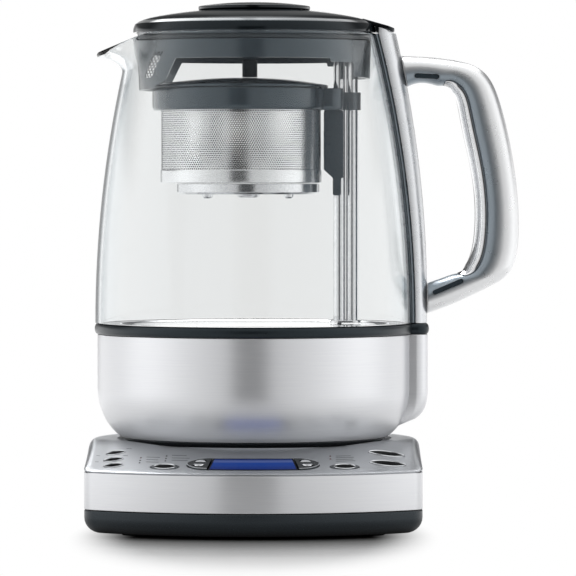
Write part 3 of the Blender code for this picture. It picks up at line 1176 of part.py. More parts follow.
def make_tab():
    """The black tab at the lid's right that reaches over the handle spine, with its catch."""
    inner = LID_RADIUS + GAP
    reach = inner + TAB_LENGTH
    half = math.asin(TAB_HALF_WIDTH / inner)
    outline = arc((0, 0), inner, half, -half, CORNER_STEPS)
    outline += arc((reach - TAB_CORNER_RADIUS, TAB_CORNER_RADIUS - TAB_HALF_WIDTH), TAB_CORNER_RADIUS,
                   -math.pi / 2, 0, CORNER_STEPS)
    outline += arc((reach - TAB_CORNER_RADIUS, TAB_HALF_WIDTH - TAB_CORNER_RADIUS), TAB_CORNER_RADIUS,
                   0, math.pi / 2, CORNER_STEPS)

    def top(x):
        return LID_EDGE_TOP + TAB_RISE - TAB_FALL * (x - inner) / TAB_LENGTH

    rings = [[(x, y, top(x) - drop) for x, y in outline] for drop in (TAB_THICKNESS, 0)]
    tab = finish("lid_tab", stack(rings), BLACK_PLASTIC)
    catch = rectangle(inner, inner + CATCH_REACH, -CATCH_HALF_WIDTH, CATCH_HALF_WIDTH)
    block = slab("lid_catch", catch, LID_BOTTOM, top(inner) - TAB_THICKNESS / 2, BLACK_PLASTIC)
    return fuse(tab, block)


# Handle

def spine_face(height):
    """Distance of the spine's outer face from the jug's axis."""
    share = (height - GLASS_BOTTOM) / (SPINE_TOP - GLASS_BOTTOM)
    return glass_radius(height) + SPINE_THICKNESS + SPINE_THICKENING * share


def make_spine():
    """The strip that runs up the glass and carries the loop."""
    rings = []
    for index in range(SPINE_STATIONS + 1):
        height = GLASS_BOTTOM + (SPINE_TOP - GLASS_BOTTOM) * index / SPINE_STATIONS
        inner = glass_radius(height) + GAP
        face = spine_face(height)
        half = math.asin(SPINE_HALF_WIDTH / inner)
        points = arc((0, 0), inner, half, -half, CORNER_STEPS)
        points += arc((face - SPINE_CORNER_RADIUS, SPINE_CORNER_RADIUS - SPINE_HALF_WIDTH), SPINE_CORNER_RADIUS,
                      -math.pi / 2, 0, CORNER_STEPS - 1)
        points += arc((face - SPINE_CORNER_RADIUS, SPINE_HALF_WIDTH - SPINE_CORNER_RADIUS), SPINE_CORNER_RADIUS,
                      0, math.pi / 2, CORNER_STEPS - 1)
        rings.append([(x, y, height) for x, y in points])
    return finish("handle_spine", stack(rings), SILVER_PLASTIC)


def handle_point(x_share, z_share):
    root = spine_face(HANDLE_TOP) + GAP
    height = HANDLE_BOTTOM + (HANDLE_TOP - HANDLE_BOTTOM) * z_share
    return Vector((root + (HANDLE_REACH - root) * x_share, 0, height))


def handle_stations():
    """Outer and inner points of the loop. The first and last follow the spine's face."""
    stations = []
    for outer_x, outer_z, inner_x, inner_z in HANDLE_SHARES:
        stations.append((handle_point(outer_x, outer_z), handle_point(inner_x, inner_z)))
    for outer, inner in (stations[0], stations[-1]):
        outer.x = spine_face(outer.z) + GAP
        inner.x = spine_face(inner.z) + GAP
    return stations


def rounded_power(value):
    return math.copysign(abs(value) ** HANDLE_SQUARENESS, value)


def loop_section(outer, inner, turn, shift=0):
    """A point on the loop's rounded section. Turn 0 is the outer side and pi the inner side."""
    middle = (outer + inner) / 2
    radial = (outer - inner) / 2
    grown = radial.normalized() * (radial.length + shift)
    across = Vector((0, HANDLE_HALF_WIDTH + shift, 0))
    return middle + grown * rounded_power(math.cos(turn)) + across * rounded_power(math.sin(turn))


def shell_station(index):
    """The loop's own outer and inner points, drawn back where the grip covers its inner side."""
    outer, inner = handle_stations()[index]
    if GRIP_FIRST <= index <= GRIP_LAST:
        inner = inner + (outer - inner).normalized() * (GRIP_THICKNESS + GAP)
    return outer, inner


def make_handle():
    rings = []
    for index in range(len(HANDLE_SHARES)):
        outer, inner = shell_station(index)
        turns = [2 * math.pi * step / HANDLE_SECTION_STEPS for step in range(HANDLE_SECTION_STEPS)]
        rings.append([loop_section(outer, inner, turn) for turn in turns])
    loop = finish("handle_loop", stack(rings), SILVER_PLASTIC)
    recesses = (("upper", RECESS_UPPER_SHARES, RECESS_UPPER_LENGTH, RECESS_UPPER_TURN),
                ("lower", RECESS_LOWER_SHARES, RECESS_LOWER_LENGTH, RECESS_LOWER_TURN))
    for place, shares, length, turn in recesses:
        centre = handle_point(*shares)
        along = Vector((math.cos(turn), 0, math.sin(turn))) * (length / 2 - RECESS_HALF_HEIGHT)
        ends = [centre + along, centre - along]
        outline = arc((ends[0].x, ends[0].z), RECESS_HALF_HEIGHT, turn - math.pi / 2, turn + math.pi / 2, CORNER_STEPS)
        outline += arc((ends[1].x, ends[1].z), RECESS_HALF_HEIGHT, turn + math.pi / 2, turn + 3 * math.pi / 2,
                       CORNER_STEPS)
        for side, y in (("front", -HANDLE_HALF_WIDTH), ("back", HANDLE_HALF_WIDTH)):
            tool = side_prism(f"recess_{place}_{side}", outline, RECESS_DEPTH, SILVER_PLASTIC, centre_y=y)
            cut(loop, tool)
    return loop


def make_grip():
    """The insert along the loop's inner side, a strip that follows the loop's section."""
    spread = math.pi * GRIP_SHARE / 2
    turns = [math.pi + spread * (step / CORNER_STEPS * 2 - 1) for step in range(CORNER_STEPS + 1)]
    rings = []
    for index in range(GRIP_FIRST, GRIP_LAST + 1):
        outer, inner = shell_station(index)
        end = index in (GRIP_FIRST, GRIP_LAST)
        thickness = GRIP_THICKNESS / 2 if end else GRIP_THICKNESS
        base = [loop_section(outer, inner, turn, GAP) for turn in turns]
        back = []
        for turn in reversed(turns):
            share = math.sqrt(max(0, math.cos((turn - math.pi) / spread * math.pi / 2)))
            back.append(loop_section(outer, inner, turn, GAP + thickness * (1 + share) / 2))
        rings.append(base + back)
    return finish("handle_grip", stack(rings), POLISHED_STEEL)


def build():
    make_tub()
    make_feet()
    make_gland()
    make_wrap()
    cover = make_cover()
    make_display()
    make_keys(cover, make_pods())
    make_board()
    make_base_connector()
    make_bottom_cover()
    make_bowl()
    make_jug_connector()
    make_band()
    make_floor()
    make_glass()
    make_post()
    make_drive()
    make_spine()
    make_handle()
    make_grip()
    make_collar()
    make_cup()
    make_cup_base()
    make_bracket()
    make_basket_lid()
    make_lid_cover()
    make_lid_knob()
    make_skirt()
    make_tab()


build()
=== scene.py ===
import math

import bmesh
import bpy
from mathutils import Matrix, Vector


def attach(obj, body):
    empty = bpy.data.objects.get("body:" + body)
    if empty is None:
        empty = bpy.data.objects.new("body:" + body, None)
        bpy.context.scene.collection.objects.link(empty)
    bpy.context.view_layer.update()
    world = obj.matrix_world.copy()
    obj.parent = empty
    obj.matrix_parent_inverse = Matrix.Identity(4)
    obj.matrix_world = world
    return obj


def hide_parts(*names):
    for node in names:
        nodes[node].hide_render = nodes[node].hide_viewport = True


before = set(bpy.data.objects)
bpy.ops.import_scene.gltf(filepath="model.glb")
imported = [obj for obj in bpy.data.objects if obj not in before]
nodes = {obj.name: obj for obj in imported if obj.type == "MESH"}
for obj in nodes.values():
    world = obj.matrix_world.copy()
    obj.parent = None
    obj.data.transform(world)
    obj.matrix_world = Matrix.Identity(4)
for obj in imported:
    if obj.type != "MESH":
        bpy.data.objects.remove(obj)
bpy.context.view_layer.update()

# Tea maker: glass jug with a motor-driven basket, on a steel-clad power base.
# Shapes are written in millimetres, origin on the table under the jug's axis, front at -Y, handle at +X.
millimetre = 0.001
turn = 2 * math.pi
clearance = 0.3

print("frame loaded:", len(nodes), "nodes")


# Shape helpers

class Sizes(dict):    # a dictionary whose values are also read as attributes
    __getattr__ = dict.__getitem__


def stackRings(rings, closed=False):    # joins each ring of points to the next; one point makes a tip
    built = bmesh.new()
    rows = [[built.verts.new(point) for point in ring] for ring in rings]
    pairs = list(zip(rows, rows[1:])) + ([(rows[-1], rows[0])] if closed else [])
    for lower, upper in pairs:
        count = max(len(lower), len(upper))
        for index in range(count):
            after = (index + 1) % count
            if len(lower) == 1:
                built.faces.new((lower[0], upper[after], upper[index]))
            elif len(upper) == 1:
                built.faces.new((lower[index], lower[after], upper[0]))
            else:
                built.faces.new((lower[index], lower[after], upper[after], upper[index]))
    if not closed:
        for row in (rows[0], rows[-1]):
            if len(row) > 2:
                built.faces.new(row)
    return built


def soften(points, radius, closed=False, steps=3):    # rounds the corners of a flat outline
    points = [Vector(point) for point in points]
    if radius <= 0:
        return points
    result = []
    for index, here in enumerate(points):
        before = points[index - 1] - here
        after = points[(index + 1) % len(points)] - here
        isEnd = not closed and index in (0, len(points) - 1)
        if isEnd or before.length < 1e-6 or after.length < 1e-6 or before.angle(after) > math.radians(158):
            result.append(here)
            continue
        reach = min(radius / math.tan(before.angle(after) / 2), before.length * 0.46, after.length * 0.46)
        start = here + before.normalized() * reach
        end = here + after.normalized() * reach
        for step in range(steps + 1):
            share = step / steps
            result.append(start * (1 - share) ** 2 + here * 2 * share * (1 - share) + end * share ** 2)
    return result


def circleRing(radius, height, steps=96, centre=(0, 0)):
    if radius < 1e-6:
        return [(centre[0], centre[1], height)]
    return [(centre[0] + radius * math.cos(turn * k / steps),
             centre[1] + radius * math.sin(turn * k / steps), height) for k in range(steps)]


def turned(profile, steps=96, centre=(0, 0), closed=False, edge=0.3):    # profile of (radius, height)
    return stackRings([circleRing(r, z, steps, centre) for r, z in soften(profile, edge, closed)], closed)


def arc(centre, radius, start, end, steps):
    return [(centre[0] + radius * math.cos(start + (end - start) * k / steps),
             centre[1] + radius * math.sin(start + (end - start) * k / steps)) for k in range(steps + 1)]


def prism(outline, heights):    # an outline of (x, y) drawn up through the heights
    return stackRings([[(x, y, z) for x, y in outline] for z in heights])


def wall(outline, depths):    # an outline of (x, z) drawn back through the depths
    return stackRings([[(x, y, z) for x, z in outline] for y in depths])


def joinMeshes(parts):    # several shapes as one
    whole = bmesh.new()
    for part in parts:
        carried = bpy.data.meshes.new("carried")
        bmesh.ops.recalc_face_normals(part, faces=part.faces[:])
        part.to_mesh(carried)
        part.free()
        whole.from_mesh(carried)
        bpy.data.meshes.remove(carried)
    return whole


def plainObject(name, built, normals=True):    # a shape in millimetres as an object in metres
    if normals:
        bmesh.ops.recalc_face_normals(built, faces=built.faces[:])
    bmesh.ops.scale(built, vec=(millimetre,) * 3, verts=built.verts[:])
    mesh = bpy.data.meshes.new(name)
    built.to_mesh(mesh)
    built.free()
    item = bpy.data.objects.new(name, mesh)
    bpy.context.scene.collection.objects.link(item)
    return item


def settle(item):    # turns the modifiers' result into the object's own mesh
    depsgraph = bpy.context.evaluated_depsgraph_get()
    mesh = bpy.data.meshes.new_from_object(item.evaluated_get(depsgraph))
    item.modifiers.clear()
    item.data = mesh


def cutAway(item, tools):    # takes closed shapes out of an object
    for tool in tools:
        cutter = plainObject("cutter", tool)
        modifier = item.modifiers.new("cut", 'BOOLEAN')
        modifier.operation = 'DIFFERENCE'
        modifier.solver = 'EXACT'
        modifier.object = cutter
        settle(item)
        bpy.data.objects.remove(cutter)


def camelCase(name):
    first, *others = name.split("_")
    return first + "".join(word.capitalize() for word in others)


def finishPiece(item, material, body, node=None, title=None, cuts=(), angle=34, weighted=True):
    # a shape or an object gets its cuts, finish and body, and stands in for the node's solid
    if isinstance(item, bmesh.types.BMesh):
        item = plainObject(title or camelCase(node), item)
    cutAway(item, cuts)
    item.data.materials.clear()
    item.data.materials.append(material)
    item.data.shade_smooth()
    item.data.set_sharp_from_angle(angle=math.radians(angle))
    if weighted:
        modifier = item.modifiers.new("flats", 'WEIGHTED_NORMAL')
        modifier.keep_sharp = True
        settle(item)
    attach(item, body)
    if node:
        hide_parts(node)


# Material helpers

def tone(code):    # an sRGB hex colour as the linear values a shader takes
    parts = [int(code[place:place + 2], 16) / 255 for place in (1, 3, 5)]
    return (*[p / 12.92 if p <= 0.04045 else ((p + 0.055) / 1.055) ** 2.4 for p in parts], 1.0)


def feed(tree, node, sockets):    # each socket takes a value, another socket, or a node's first output
    for name, source in sockets.items():
        source = source.outputs[0] if isinstance(source, bpy.types.Node) else source
        if isinstance(source, bpy.types.NodeSocket):
            tree.links.new(source, node.inputs[name])
        else:
            node.inputs[name].default_value = source


def addNode(tree, kind, *sources, stops=(), **settings):
    # sources fill the sockets in turn; capitalised settings name sockets and the others the node's own
    # properties; stops are a ramp's (position, hex colour or grey level)
    node = tree.nodes.new(kind if kind.startswith(("Geometry", "Node")) else "ShaderNode" + kind)
    for name, value in settings.items():
        if not name[0].isupper():
            setattr(node, name, value)
    feed(tree, node, dict(enumerate(sources)))
    feed(tree, node, {name.replace("_", " "): value for name, value in settings.items() if name[0].isupper()})
    stops = [(place, tone(code) if isinstance(code, str) else (code, code, code, 1)) for place, code in stops]
    for element, (place, colour) in zip(node.color_ramp.elements if stops else (), (stops[:1] + stops[-1:])):
        element.position = place
        element.color = colour
    for place, colour in stops[1:-1]:
        node.color_ramp.elements.new(place).color = colour
    return node


def newFinish(name, colour, roughness, metallic=0.0, **more):    # a material with the shader's plain values
    material = bpy.data.materials.new(name)
    material.use_nodes = True
    material.diffuse_color = tone(colour)
    tree = material.node_tree
    shader = tree.nodes["Principled BSDF"]
    feed(tree, shader, {"Base Color": tone(colour), "Roughness": roughness, "Metallic": metallic})
    feed(tree, shader, {socket.replace("_", " "): value for socket, value in more.items()})
    return material, tree, shader


def grained(name, colour, metallic, size, tones, rough, depth, stretch=(1, 1, 1), detail=3.0, **more):
    # noise of a real size in mm drives colour between two tones, roughness between two values, and a bump
    material, tree, shader = newFinish(name, colour, sum(rough) / 2, metallic, **more)
    place = addNode(tree, "TexCoord").outputs["Object"]
    scaled = addNode(tree, "Mapping", place, Scale=tuple(1 / (size * millimetre * s) for s in stretch))
    grain = addNode(tree, "TexNoise", scaled, Scale=1.0, Detail=detail, Roughness=0.55)
    if tones:
        colours = addNode(tree, "ValToRGB", grain, stops=((0.28, tones[0]), (0.72, tones[1])))
        feed(tree, shader, {"Base Color": colours})
    feed(tree, shader, {"Roughness": addNode(tree, "MapRange", grain, 0.25, 0.75, *rough)})
    if depth:
        bump = addNode(tree, "Bump", Strength=1.0, Distance=depth * millimetre, Height=grain)
        feed(tree, shader, {"Normal": bump})
    return material, tree, shader


# Stainless steel 304, brushed along the level: fine level streaks, and a shine drawn out up and down.
# Real scratches are near 0.05 mm; these streaks are 0.4 mm high so that they show.
brushing = {"stretch": (60, 60, 1), "detail": 2.0, "Anisotropic_Rotation": 0.25}
steelBrushed, tree, shader = grained("stainlessBrushed", "#d4d5d7", 0.93, 0.4, ("#d2d3d6", "#d7d8da"),
                                     (0.31, 0.37), 0.0004, Anisotropic=0.6, **brushing)
# Round the bowl's drawn lower edge the brush is coarser, which softens what it mirrors there.
place = addNode(tree, "TexCoord").outputs["Object"]
level = addNode(tree, "SeparateXYZ", place).outputs["Z"]
coarser = addNode(tree, "MapRange", level, 0.040, 0.062, 0.24, 0.0, interpolation_type='SMOOTHSTEP')
plainRoughness = shader.inputs["Roughness"].links[0].from_socket
feed(tree, shader, {"Roughness": addNode(tree, "Math", plainRoughness, coarser, operation='ADD')})

# The same steel round the base, brushed straighter, so that its shine is drawn out less to the sides.
steelWrap = grained("stainlessWrap", "#d4d5d7", 0.93, 0.4, ("#d2d3d6", "#d7d8da"), (0.28, 0.32), 0.0002,
                    Anisotropic=0.75, **brushing)[0]

# Stainless steel, electropolished: sharp pale reflections, with the faintest orange peel.
steelPolished = grained("stainlessPolished", "#dedfe1", 1.0, 2.5, ("#d8d9db", "#e4e4e5"), (0.05, 0.10),
                        0.0006)[0]

# Perforated stainless of the cup: satin outside, with painted shade on its inner side, where faces turned
# toward its axis are coloured near black.
cupSteel, tree, shader = grained("perforatedStainless", "#e8e9ea", 1.0, 0.9, ("#e4e5e6", "#ecedee"),
                                 (0.18, 0.26), 0.0008)
cupAxis = (-0.0065, 0, 0)
place = addNode(tree, "TexCoord").outputs
fromAxis = addNode(tree, "VectorMath", place["Object"], cupAxis, operation='SUBTRACT')
flat = addNode(tree, "VectorMath", fromAxis, (1, 1, 0), operation='MULTIPLY')
outward = addNode(tree, "VectorMath", flat, place["Normal"], operation='DOT_PRODUCT').outputs["Value"]
# painted shade: faces turned toward the cup's axis take the near-black colour below
inner = addNode(tree, "Math", outward, -0.01, operation='LESS_THAN')
outside = shader.inputs["Base Color"].links[0].from_socket
feed(tree, shader, {"Base Color": addNode(tree, "MixRGB", inner, outside, tone("#272b2e"))})

# Stainless sheet, etched and rolled: a satin shine between the holes.
steelSheet = grained("stainlessSheet", "#dcdddf", 1.0, 0.9, ("#d5d6d9", "#e3e4e5"), (0.13, 0.22), 0.0008)[0]

# ABS with silver lacquer: fine metal flakes, half mirror and half paint, in a satin coat.
silverLacquer = grained("silverLacquer", "#b0b3b7", 0.7, 0.35, ("#adb0b4", "#b3b6ba"), (0.28, 0.32),
                        0.0001)[0]

# ABS with satin chrome plating: soft-edged reflections, pale outside; the loop's inner half is darkened by
# painted shade and a painted reflection of the jug and spine it faces.
satinChrome = grained("satinChrome", "#d6d8db", 0.75, 6.0, ("#d3d5d8", "#dadcde"), (0.25, 0.31), 0.0006)[0]
loopChrome, tree, shader = grained("satinChromeShadedInside", "#d3d5d8", 0.65, 6.0, None, (0.26, 0.32), 0.0006)
section = addNode(tree, "SeparateXYZ", addNode(tree, "UVMap", uv_map="section"))
# painted shade: the side of each section that faces the jug turns blue-grey
innerShade = addNode(tree, "ValToRGB", section.outputs["Y"], stops=((0.40, "#ecedee"), (0.60, "#939da5")))
innerShade.color_ramp.interpolation = 'EASE'
feed(tree, shader, {"Base Color": innerShade})

# Smoked satin chrome of the spine's liner: mid grey, soft; its grey also stands in as painted shade for the
# dark band where the spine meets the glass.
linerSmokeAndShade = grained("linerSmokedChromeAndShade", "#7b848b", 0.6, 4.0, ("#767f86", "#818a91"), (0.29, 0.36),
                     0.0005)[0]

# Bright chrome plating on the rims of the keys: near-mirror.
keyChrome = grained("keyChrome", "#d4d6d9", 1.0, 1.2, ("#cfd1d4", "#d9dbdd"), (0.10, 0.14), 0.0001)[0]

# Smoked chrome on the keys' caps: dark grey, glossy.
keySmoke = grained("keySmokedChrome", "#2b3036", 0.85, 1.2, ("#282d33", "#2f343a"), (0.08, 0.12), 0.0001,
                   Specular_Tint=tone("#4a5056"))[0]

# ABS moulded with a fine spark texture: near black, satin, slightly mottled shine.
absBlack = grained("absBlack", "#0e1317", 0.0, 0.4, ("#0c1013", "#11161a"), (0.24, 0.34), 0.0012,
                   Specular_IOR_Level=0.8, Specular_Tint=tone("#c6d3dc"))[0]

# Satin black of the pull rod: almost no shine.
rodBlack = grained("rodBlack", "#0a0b0d", 0.0, 0.8, ("#08090b", "#0c0d0f"), (0.36, 0.46), 0.0006,
                   Specular_IOR_Level=0.15)[0]

# Glossy ABS of the pull disc and the tab.
absGloss = grained("absGloss", "#08090b", 0.0, 3.0, ("#07080a", "#0b0c0e"), (0.12, 0.19), 0.0006,
                   Specular_Tint=tone("#ccd6dd"))[0]

# Slate polycarbonate of the basket and the skirt: dark body under a strong clear shine that makes it slate.
slateMoulded = grained("slateMoulded", "#343e45", 0.0, 0.9, ("#313b42", "#374148"), (0.17, 0.24), 0.0008,
                       Specular_IOR_Level=0.9, Coat_Weight=0.5, Coat_Roughness=0.15,
                       Specular_Tint=tone("#c4d4de"))[0]

# Slate lacquer of the lid: near-black grey, glossy.
slateGloss = grained("slateGloss", "#12181c", 0.0, 2.2, ("#10161a", "#151b1f"), (0.08, 0.13), 0.0005,
                     Specular_IOR_Level=0.35, Specular_Tint=tone("#c8d6df"))[0]

# Thermoplastic elastomer band between glass and steel: blue-black, soft shine.
bandElastomer = grained("bandElastomer", "#12181c", 0.0, 0.7, ("#10161a", "#161c20"), (0.26, 0.35), 0.0012,
                        Specular_Tint=tone("#c4d4de"))[0]

# Natural rubber of the feet and the gland: matt, with a dusty grain.
footRubber = grained("footRubber", "#16181a", 0.0, 0.5, ("#131517", "#1d1f21"), (0.68, 0.84), 0.0060)[0]

# Slate silicone of the seals: satin, soft grain.
sealSilicone = grained("sealSilicone", "#2b3237", 0.0, 0.8, ("#272e33", "#30373c"), (0.40, 0.52), 0.0020)[0]

# Sheath of the heating element: bead-blasted nickel alloy.
elementNickel = grained("elementNickel", "#8f8b86", 1.0, 0.6, ("#827e79", "#9b9792"), (0.36, 0.50), 0.0040)[0]

# Nickel-plated magnets, motor case and carriage.
magnetNickel = grained("magnetNickel", "#a9abb0", 1.0, 1.0, ("#a1a3a8", "#b2b4b8"), (0.20, 0.32), 0.0010)[0]

# Pad print on the panel: matt dark-grey ink. Lens caps of the signal lights: dark red and dark grey acrylic.
padPrint = grained("padPrint", "#4a4f54", 0.0, 0.3, ("#45494e", "#50555a"), (0.55, 0.68), 0.0)[0]
lensRed, lensDark = (
    grained(name, colour, 0.0, 0.5, tones, (0.08, 0.16), 0.0, Coat_Weight=0.6)[0]
    for name, colour, tones in (("lensRed", "#5a1518", ("#4c1014", "#6a1a1d")),
                                ("lensDark", "#1b1c1f", ("#17181a", "#222326"))))

# Borosilicate glass: clear, with a darker line along its edges that is painted by viewing angle, partly the
# tint a thick edge shows and partly painted shade for the dark surroundings it bends and mirrors, and slow
# waves from its blowing.
# In the thin lip of the spout it bends light less and mirrors more.
jugGlass, tree, shader = newFinish("borosilicateGlass", "#f2f3f3", 0.0, Transmission_Weight=1.0)
place = addNode(tree, "TexCoord").outputs["Object"]
sides = addNode(tree, "SeparateXYZ", place).outputs
high = addNode(tree, "MapRange", sides["Z"], 0.215, 0.225)
toSpout = addNode(tree, "MapRange", sides["X"], -0.070, -0.062, 1.0, 0.0)
lip = addNode(tree, "Math", toSpout, high, operation='MULTIPLY')
thinning = addNode(tree, "Math", lip, -0.10, 1.0, operation='MULTIPLY_ADD')
# painted shade: the base colour turns grey-blue where the glass is seen edge-on
facing = addNode(tree, "LayerWeight", 0.5).outputs["Facing"]
weighed = addNode(tree, "Math", facing, thinning, operation='MULTIPLY')
edgeTintAndShade = addNode(tree, "ValToRGB", weighed, stops=((0.45, "#f2f3f3"), (0.70, "#e6eaec"), (0.80, "#b6c0c6"),
                                                  (0.86, "#828d95"), (0.93, "#69747c")))
waves = addNode(tree, "TexNoise", place, Scale=1 / (30 * millimetre), Detail=1.0)
feed(tree, shader, {
    "Base Color": edgeTintAndShade,
    "Specular Tint": addNode(tree, "MixRGB", lip, tone("#9299a0"), tone("#ffffff")),
    "IOR": addNode(tree, "MapRange", lip, 0.0, 1.0, 1.47, 1.22),
    "Normal": addNode(tree, "Bump", Strength=1.0, Distance=0.02 * millimetre, Height=waves)})

# Backlit display behind acrylic: deep blue, brighter towards the back, with a dark frame, and a paler band
# along its far edge that is a painted highlight.
displayBlue, tree, shader = newFinish("displayAcrylic", "#1a3184", 0.12, Specular_IOR_Level=0.04)
panel = addNode(tree, "SeparateXYZ", addNode(tree, "UVMap", uv_map="panel")).outputs
# painted highlight: the pale stops from 0.68 to 0.80 stand in for a reflection across the window
blueWithHighlight = addNode(tree, "ValToRGB", panel["Y"], stops=(
    (0.0, "#0c1226"), (0.06, "#0c1638"), (0.10, "#12348c"), (0.40, "#1c4aac"), (0.62, "#204fb0"),
    (0.68, "#5a70b8"), (0.80, "#6075bc"), (0.86, "#2a4590"), (0.93, "#182a66"), (1.0, "#12182b")))
widthwise = addNode(tree, "ValToRGB", panel["X"], stops=(
    (0.0, 0.0), (0.012, 0.0), (0.022, 1.0), (0.978, 1.0), (0.988, 0.0), (1.0, 0.0)))
framed = addNode(tree, "MixRGB", widthwise, tone("#0c1020"), blueWithHighlight)
feed(tree, shader, {"Base Color": framed, "Emission Color": framed, "Emission Strength": 0.08})

# Glass-fibre board with green solder mask and pale copper tracks.
boardMask, tree, shader = newFinish("boardMask", "#1d5c38", 0.4)
place = addNode(tree, "TexCoord").outputs["Object"]
tracks = addNode(tree, "TexBrick", place, tone("#1d5c38"), tone("#1a5433"), tone("#5d8a63"),
                 Scale=1 / (9 * millimetre), Mortar_Size=0.03)
feed(tree, shader, {"Base Color": tracks})

# Steel lead screw: rings of bump, 1 mm apart, stand for its thread.
screwSteel, tree, shader = newFinish("screwSteel", "#b9bbbf", 0.22, 1.0)
place = addNode(tree, "TexCoord").outputs["Object"]
thread = addNode(tree, "TexWave", place, Scale=turn / (20 * millimetre), bands_direction='Z')
feed(tree, shader, {"Normal": addNode(tree, "Bump", Strength=1.0, Distance=0.15 * millimetre, Height=thread)})
print("materials made")


# Power base

base = Sizes(
    halfWidth=80.7, front=97.0, bowRadius=125.0, cornerRadius=12.0,
    tubBottom=1.0, tubTop=12.1, heelIn=8.0, heelRise=7.5, tubWall=2.0, tubFloor=2.5,
    wrapBottom=12.4, wrapTop=30.1, wrapThickness=1.0,
    coverBottom=30.75, panelEdge=31.2, panelTop=43.0, panelSlope=0.3194, shoulder=4.0,
    coverThickness=2.8, liner=1.8, seatHeight=41.3, seatRadius=67.0, seatThickness=3.0, holeRadius=18.3,
    footX=56.0, footFrontY=-62.0, footBackY=38.0, footRadius=7.0, footHeight=2.1, footBevel=0.6, overrun=1.0)
bowCentre = base.bowRadius - base.front


def baseOutline(inset, backSteps=64, bowSteps=36, cornerSteps=9, sideSteps=8):
    half = base.halfWidth - inset
    bow = base.bowRadius - inset
    corner = max(base.cornerRadius - inset, 0.3)
    cornerX = half - corner
    cornerY = bowCentre - math.sqrt((bow - corner) ** 2 - cornerX ** 2)
    meet = math.atan2(cornerY - bowCentre, cornerX)
    drops = [cornerY * k / sideSteps for k in range(1, sideSteps)]
    points = arc((0, 0), half, 0, math.pi, backSteps)
    points += [(-half, drop) for drop in drops]
    points += arc((-cornerX, cornerY), corner, math.pi, math.pi - meet, cornerSteps)
    points += arc((0, bowCentre), bow, math.pi - meet, turn + meet, bowSteps)[1:-1]
    points += arc((cornerX, cornerY), corner, turn + meet, turn, cornerSteps)
    return points + [(half, drop) for drop in reversed(drops)]


def outlineRings(profile):    # profile of (inset, height)
    return [[(x, y, height) for x, y in baseOutline(inset)] for inset, height in profile]


def panelHeight(x, y):    # the cone of the control panel, blended softly into the level back
    rise = base.panelEdge + base.panelSlope * (base.bowRadius - math.hypot(x, y - bowCentre))
    soft = 1.2
    off = max(soft - abs(rise - base.panelTop), 0) / soft
    return min(rise, base.panelTop) - off * off * soft / 4


def onPanel(distance, angle, lift=0.0):
    x = distance * math.sin(angle)
    y = bowCentre - distance * math.cos(angle)
    return Vector((x, y, base.panelEdge + base.panelSlope * (base.bowRadius - distance) + lift))


def coverRing(share, drop):
    points = []
    for x, y in baseOutline(base.shoulder):
        scale = base.seatRadius / math.hypot(x, y)
        flatX = x + (x * scale - x) * share
        flatY = y + (y * scale - y) * share
        points.append((flatX, flatY, panelHeight(flatX, flatY) - drop))
    return points


def shoulderRing(share):
    points = []
    for (edgeX, edgeY), (x, y) in zip(baseOutline(0), baseOutline(base.shoulder * share)):
        wall = panelHeight(edgeX, edgeY) - base.coverBottom
        radius = min(base.shoulder, wall / 2)
        drop = radius * (1 - math.sqrt(1 - (1 - share) ** 2))
        points.append((x, y, panelHeight(x, y) - drop))
    return points


def seatRing(radius, height):
    points = []
    for x, y in baseOutline(base.shoulder):
        scale = radius / math.hypot(x, y)
        points.append((x * scale, y * scale, height))
    return points


tubProfile = [(base.heelIn * (1 - math.sin(math.pi / 2 * k / 7)),
               base.tubBottom + base.heelRise * (1 - math.cos(math.pi / 2 * k / 7))) for k in range(8)]
tubProfile += [(0, base.tubTop - 0.4), (0.4, base.tubTop), (base.tubWall, base.tubTop),
               (base.tubWall, base.tubBottom + base.heelRise),
               (base.tubWall + base.heelIn, base.tubBottom + base.tubFloor)]
tub = stackRings(outlineRings(tubProfile))
footPlaces = [(x, y) for x in (-base.footX, base.footX) for y in (base.footFrontY, base.footBackY)]
pocket = base.footRadius + clearance
tools = [turned([(pocket, -base.overrun), (pocket, base.footHeight + clearance)], 40, spot, edge=0)
         for spot in footPlaces]
finishPiece(tub, absBlack, "base", "base_tub", title="baseTub", cuts=tools)
for number, spot in enumerate(footPlaces, 1):
    foot = turned([(0, 0), (base.footRadius - base.footBevel, 0), (base.footRadius, base.footBevel),
                   (base.footRadius, base.footHeight), (0, base.footHeight)], 40, spot, edge=0.25)
    finishPiece(foot, footRubber, "base", "foot_" + str(number))

wrapProfile = soften([(0, base.wrapBottom), (0, base.wrapTop), (base.wrapThickness, base.wrapTop),
                      (base.wrapThickness, base.wrapBottom)], 0.35, True)
wrap = stackRings(outlineRings(wrapProfile), True)
finishPiece(wrap, steelWrap, "base", "base_steel_wrap", title="baseWrap")

linerIn = base.wrapThickness + clearance
linerFar = linerIn + base.liner
rings = outlineRings([(0, base.coverBottom)])
rings += [shoulderRing(share) for share in (0.0, 0.06, 0.14, 0.25, 0.40, 0.58, 0.78, 1.0)]
rings += [coverRing(share, 0) for share in (0.12, 0.3, 0.5, 0.7, 0.86, 0.97)]
rings += [seatRing(base.seatRadius, base.seatHeight + 0.35), seatRing(base.seatRadius - 0.4, base.seatHeight),
          seatRing(40.0, base.seatHeight), seatRing(base.holeRadius, base.seatHeight),
          seatRing(base.holeRadius, base.seatHeight - base.seatThickness),
          seatRing(base.seatRadius - base.coverThickness, base.seatHeight - base.seatThickness)]
rings += [coverRing(share, base.coverThickness) for share in (1.0, 0.7, 0.5, 0.3)]
rings.append([(x, y, panelHeight(x, y) - base.coverThickness) for x, y in baseOutline(linerFar)])
rings += outlineRings([(linerFar, base.wrapBottom), (linerIn, base.wrapBottom), (linerIn, base.coverBottom)])
cover = plainObject("baseCover", stackRings(rings, True))

